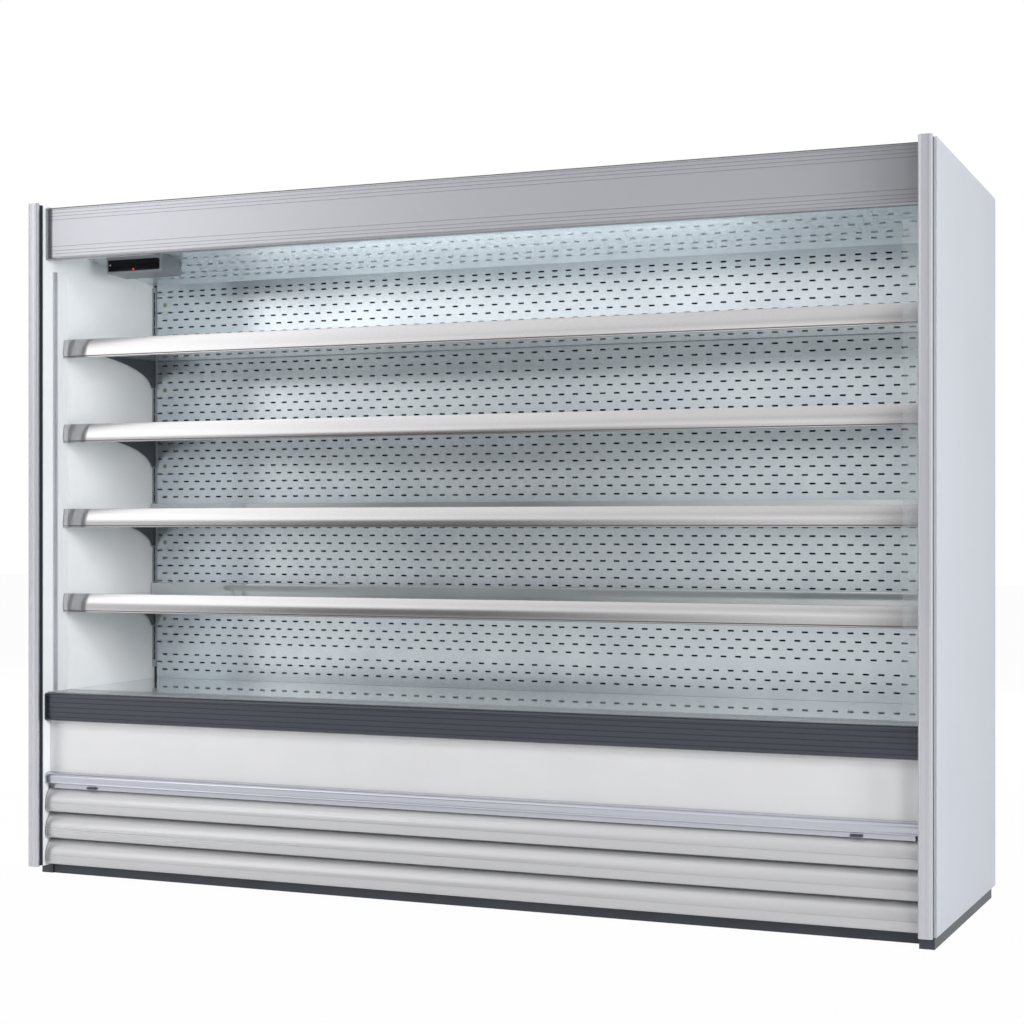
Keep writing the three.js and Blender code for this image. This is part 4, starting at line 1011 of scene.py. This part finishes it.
# ---- display ----
displayLook = {
    "edge": 1.5 * mm,
    "frontRise": 4.2 * mm,        # the case's lower face climbs to the front
    "rearDrop": 12.5 * mm,        # and its top falls with the ceiling
    "windowRadius": 7 * mm,
    "windowSharpRadius": 1.5 * mm,
    "windowEdge": 0.4 * mm,
    "sink": 0.2 * mm,             # lamp and dot in the window
    "lampRings": ((3 * mm, 0), (3 * mm, 0.6 * mm), (1.6 * mm, 1.1 * mm)),
    "dotRings": ((2.2 * mm, 0), (2.2 * mm, 0.4 * mm), (1.2 * mm, 0.7 * mm)),
    "lampX": -1064.5 * mm,
    "lampZ": 1737 * mm,
    "dotX": -1143.8 * mm,
    "dotZ": 1751.5 * mm,
    "hookRadius": 5 * mm,
    "hookWire": 0.9 * mm,
    "hookRise": 34 * mm,          # above the case's lower edge
    "hookInset": 12 * mm,         # from the case's rear
    "hookReach": 0.9,             # centre beyond the case's side, share of the radius
    "hookSweep": 340,
    "hookTurns": 24,
    "hookSides": 8,
}


def buildDisplay():
    x0, x1, y0, y1, z0, z1 = corners("display_housing")
    look = displayLook
    loop = [(y0, z0 + look["frontRise"]), (y1, z0), (y1, z1 - look["rearDrop"]), (y0, z1)]
    case = softenEdges(extruded("display_case", loop, "x", x0, x1), look["edge"], 2)
    place(case, "cabinet", "display_case", paint["case"], "display_housing")
    wx0, wx1, wy0, wy1, wz0, wz1 = corners("display_window")
    radius = look["windowRadius"]
    sharp = look["windowSharpRadius"]
    face = filletLoop([(wx0, wz0, sharp), (wx1, wz0, radius), (wx1, wz1, radius), (wx0, wz1, sharp)], 6)
    window = softenEdges(extruded("display_glass", face, "y", wy0, wy1), look["windowEdge"], 1, 60)
    place(window, "cabinet", "display_black", paint["blackGloss"], "display_window")
    for name, part, finish in (("display_lamp", "lamp", "lamp"), ("display_sensor", "dot", "white")):
        work = bmesh.new()
        centre = (look[part + "X"], wy0 + look["sink"], look[part + "Z"])
        addDisc(work, centre, (0, -1, 0), look[part + "Rings"], 16)
        place(pieceFromBmesh(name, work), "cabinet", "display_black", paint[finish])
    buildHook(x1, y1 - look["hookInset"], z0 + look["hookRise"])


def buildHook(x, y, z):
    # small wire eye on the case's right side
    look = displayLook
    radius = look["hookRadius"]
    wire = look["hookWire"]
    turns = look["hookTurns"]
    sides = look["hookSides"]
    work = bmesh.new()
    rings = []
    for k in range(turns + 1):
        angle = math.radians(look["hookSweep"] * (k / turns - 0.5))
        spoke = Vector((-math.cos(angle), 0, math.sin(angle)))
        centre = Vector((x + radius * look["hookReach"], y, z)) - spoke * radius
        ring = []
        for i in range(sides):
            swing = 2 * math.pi * i / sides
            across = Vector((0, wire * math.sin(swing), 0))
            ring.append(work.verts.new(centre + spoke * wire * math.cos(swing) + across))
        rings.append(ring)
    for a, b in zip(rings, rings[1:]):
        joinRings(work, a, b)
    work.faces.new(rings[0])
    work.faces.new(list(reversed(rings[-1])))
    place(pieceFromBmesh("display_hook", work), "cabinet", "display_case", paint["screw"])


buildDisplay()
print("display built")

# ---- wing holders ----
holderLook = {
    "wall": 1.4 * mm,
    "depth": 18 * mm,
    "edge": 0.3 * mm,
    "wallGap": 0.15 * mm,
    "wingGap": 0.2 * mm,
    "screwHeights": (537, 1199, 1698),     # mm above the floor
    "screwDepth": 10 * mm,
}


def buildWingHolder(name, side):
    x0, x1, y0, y1, z0, z1 = corners("wing_" + name)
    look = holderLook
    wall = side * (wallX - look["wallGap"])
    inner = wall - side * look["wall"]
    rear = y1 + look["wingGap"]
    a, b = sorted((wall, inner))
    holder = boxPiece(f"wing_holder_{name}", a, b, rear, rear + look["depth"], z0, z1)
    softenEdges(holder, look["edge"], 1, 50)
    place(holder, "cabinet", "anodised_aluminium", paint["profile"])
    screws = bmesh.new()
    for height in look["screwHeights"]:
        addScrew(screws, (inner, rear + look["screwDepth"], height * mm), (-side, 0, 0))
    place(pieceFromBmesh(f"wing_screws_{name}", screws), "cabinet", "anodised_aluminium", paint["screw"])


for sideName, sideSign in sides:
    buildWingHolder(sideName, sideSign)
print("wing holders built")

# ---- floor, light and background ----
def seenDirectly(nodes, links):
    # 1 for camera rays, reflections and what clear sheets let through, 0 for light that falls on surfaces
    path = nodes.new("ShaderNodeLightPath")
    seen = path.outputs["Is Camera Ray"]
    for kind in ("Is Glossy Ray", "Is Transmission Ray"):
        either = nodes.new("ShaderNodeMath")
        either.operation = "MAXIMUM"
        links.new(seen, either.inputs[0])
        links.new(path.outputs[kind], either.inputs[1])
        seen = either.outputs[0]
    return seen


floorLook = {"size": 30.0, "colour": "#F7F7F7", "roughness": 0.7, "selfWhite": 0.975}


def buildFloor():
    size = floorLook["size"]
    work = bmesh.new()
    work.faces.new([work.verts.new((x * size, y * size, 0)) for x, y in ((-1, -1), (1, -1), (1, 1), (-1, 1))])
    floor = pieceFromBmesh("studio_floor", work)
    material = bpy.data.materials.new("studioFloor")
    nodes, links = nodeTree(material)
    shader = nodes["Principled BSDF"]
    shader.inputs["Base Color"].default_value = linear(floorLook["colour"])
    shader.inputs["Roughness"].default_value = floorLook["roughness"]
    shader.inputs["Specular IOR Level"].default_value = 0.0
    share = nodes.new("ShaderNodeMath")
    share.operation = "MULTIPLY"
    share.inputs[1].default_value = floorLook["selfWhite"]
    links.new(seenDirectly(nodes, links), share.inputs[0])
    white = nodes.new("ShaderNodeEmission")
    mix = nodes.new("ShaderNodeMixShader")
    links.new(share.outputs[0], mix.inputs[0])
    links.new(shader.outputs[0], mix.inputs[1])
    links.new(white.outputs[0], mix.inputs[2])
    links.new(mix.outputs[0], nodes["Material Output"].inputs["Surface"])
    floor.data.materials.append(material)


worldLook = {"fill": 0.12, "fillColour": "#F1F3F6"}


def buildWorld():
    world = bpy.data.worlds.new("studioWorld")
    scene.world = world
    nodes, links = nodeTree(world)
    fill = nodes["Background"]
    fill.inputs["Color"].default_value = linear(worldLook["fillColour"])
    fill.inputs["Strength"].default_value = worldLook["fill"]
    white = nodes.new("ShaderNodeBackground")
    white.inputs["Color"].default_value = (1, 1, 1, 1)
    white.inputs["Strength"].default_value = 1.0
    mix = nodes.new("ShaderNodeMixShader")
    links.new(seenDirectly(nodes, links), mix.inputs[0])
    links.new(fill.outputs[0], mix.inputs[1])
    links.new(white.outputs[0], mix.inputs[2])
    links.new(mix.outputs[0], nodes["World Output"].inputs["Surface"])


lampLook = {
    "leftSoftbox": {"place": (-3.8, -4.1, 1.3), "aim": (-0.4, 0, 1.0), "size": (2.2, 2.8), "power": 96},
    "highSoftbox": {"place": (-0.8, -3.3, 3.7), "aim": (-0.2, 0, 0.8), "size": (2.4, 1.0), "power": 52},
    "nearRightSoftbox": {"place": (2.5, -1.9, 1.35), "aim": (0.9, 0, 1.0), "size": (0.6, 1.8), "power": 8},
    "rightSoftbox": {"place": (4.3, -3.4, 1.6), "aim": (0.2, 0, 1.0), "size": (1.0, 2.0), "power": 46},
    "farRightSoftbox": {"place": (11.5, -4.2, 2.9), "aim": (0, 0, 1.0), "size": (2.0, 3.0), "power": 480},
    "wallFill": {"place": (1.6, -1.7, 1.2), "aim": (-1.25, 0.1, 1.0), "size": (0.8, 1.6), "power": 34,
                 "only": ("end_panel_left_skin", "wing_holder_left", "wing_screws_left")},
    "canopyFill": {"place": (0, -0.2, 1.70), "aim": (0, 0.35, 1.45), "size": (1.5, 0.12), "power": 1.7},
    "backSoftbox": {"place": (1.0, 6.5, 3.4), "aim": (0, 0, 1.0), "size": (4.0, 3.0), "power": 260},
    "leftBackSoftbox": {"place": (-8.0, 3.2, 3.0), "aim": (0, 0.2, 1.0), "size": (3.0, 3.0), "power": 460},
}


def buildLamps():
    for name, look in lampLook.items():
        data = bpy.data.lights.new(name, "AREA")
        data.shape = "RECTANGLE"
        data.size, data.size_y = look["size"]
        data.energy = look["power"]
        lamp = bpy.data.objects.new(name, data)
        lamp.location = look["place"]
        aim = Vector(look["aim"]) - Vector(look["place"])
        lamp.rotation_euler = aim.to_track_quat("-Z", "Y").to_euler()
        lamp.visible_glossy = False      # what metal shows is the screen below
        scene.collection.objects.link(lamp)
        if "only" in look:
            lit = bpy.data.collections.new(name + "Lit")
            for pieceName in look["only"]:
                lit.objects.link(bpy.data.objects[pieceName])
            lamp.light_linking.receiver_collection = lit


# screen that only reflections see, in front of the object: bright at the left, dark right of the middle
cardLook = {
    "x": (-12.0, 12.0),
    "y": -7.5,
    "z": (-0.5, 7.0),
    "stops": (-6.95, -6.65, -5.9, -5.2, -4.4, -3.2, -2.2, -0.70, -0.34, 1.6, 3.0),
    "rows": (                                            # height, then the tone at each stop
        (0.1, (0.30, 2.4, 1.8, 1.3, 0.9, 0.8, 1.0, 1.05, 0.25, 0.22, 0.6)),
        (0.8, (0.30, 1.2, 0.9, 0.5, 0.08, 0.02, 0.4, 1.20, 0.25, 0.22, 0.6)),
        (1.9, (0.30, 1.3, 1.0, 0.7, 0.10, 0.03, 0.6, 1.40, 0.30, 0.22, 0.6)),
        (2.4, (0.40, 2.8, 2.5, 2.4, 2.0, 1.50, 1.40, 1.70, 0.30, 0.24, 0.9)),
        (3.4, (0.40, 2.9, 2.6, 2.1, 1.6, 1.20, 1.05, 0.95, 0.25, 0.24, 0.8)),
        (4.2, (0.40, 2.6, 2.3, 2.0, 1.6, 1.40, 1.25, 1.25, 0.20, 0.20, 0.3)),
    ),
}


def buildCard():
    look = cardLook
    x0, x1 = look["x"]
    z0, z1 = look["z"]
    work = bmesh.new()
    work.faces.new([work.verts.new((x, look["y"], z)) for x, z in ((x0, z0), (x1, z0), (x1, z1), (x0, z1))])
    card = pieceFromBmesh("studio_card", work)
    material = bpy.data.materials.new("studioCard")
    nodes, links = nodeTree(material)
    nodes.remove(nodes["Principled BSDF"])
    coords = nodes.new("ShaderNodeTexCoord")
    split = nodes.new("ShaderNodeSeparateXYZ")
    glow = nodes.new("ShaderNodeEmission")
    links.new(coords.outputs["Object"], split.inputs[0])
    brightest = max(max(tones) for height, tones in look["rows"])
    glow.inputs["Strength"].default_value = brightest
    across = mapRange(nodes, links, split.outputs["X"], x0, x1)
    shade = None
    heightBelow = None
    for height, tones in look["rows"]:
        ramp = nodes.new("ShaderNodeValToRGB")
        links.new(across, ramp.inputs["Fac"])
        elements = ramp.color_ramp.elements
        while len(elements) < len(tones):
            elements.new(0.5)
        for element, x, tone in zip(elements, look["stops"], tones):
            share = tone / brightest
            element.position = (x - x0) / (x1 - x0)
            element.color = (share, share, share, 1)
        if shade is None:
            shade = ramp.outputs["Color"]
        else:
            mix = nodes.new("ShaderNodeMix")
            mix.data_type = "RGBA"
            climb = mapRange(nodes, links, split.outputs["Z"], heightBelow, height)
            links.new(climb, mix.inputs["Factor"])
            links.new(shade, mix.inputs["A"])
            links.new(ramp.outputs["Color"], mix.inputs["B"])
            shade = mix.outputs["Result"]
        heightBelow = height
    links.new(shade, glow.inputs["Color"])
    links.new(glow.outputs[0], nodes["Material Output"].inputs["Surface"])
    card.data.materials.append(material)
    card.visible_camera = False
    card.visible_diffuse = False
    card.visible_shadow = False
    card.visible_transmission = False


buildFloor()
buildWorld()
buildLamps()
buildCard()
scene.view_settings.view_transform = "Standard"
print("studio set")
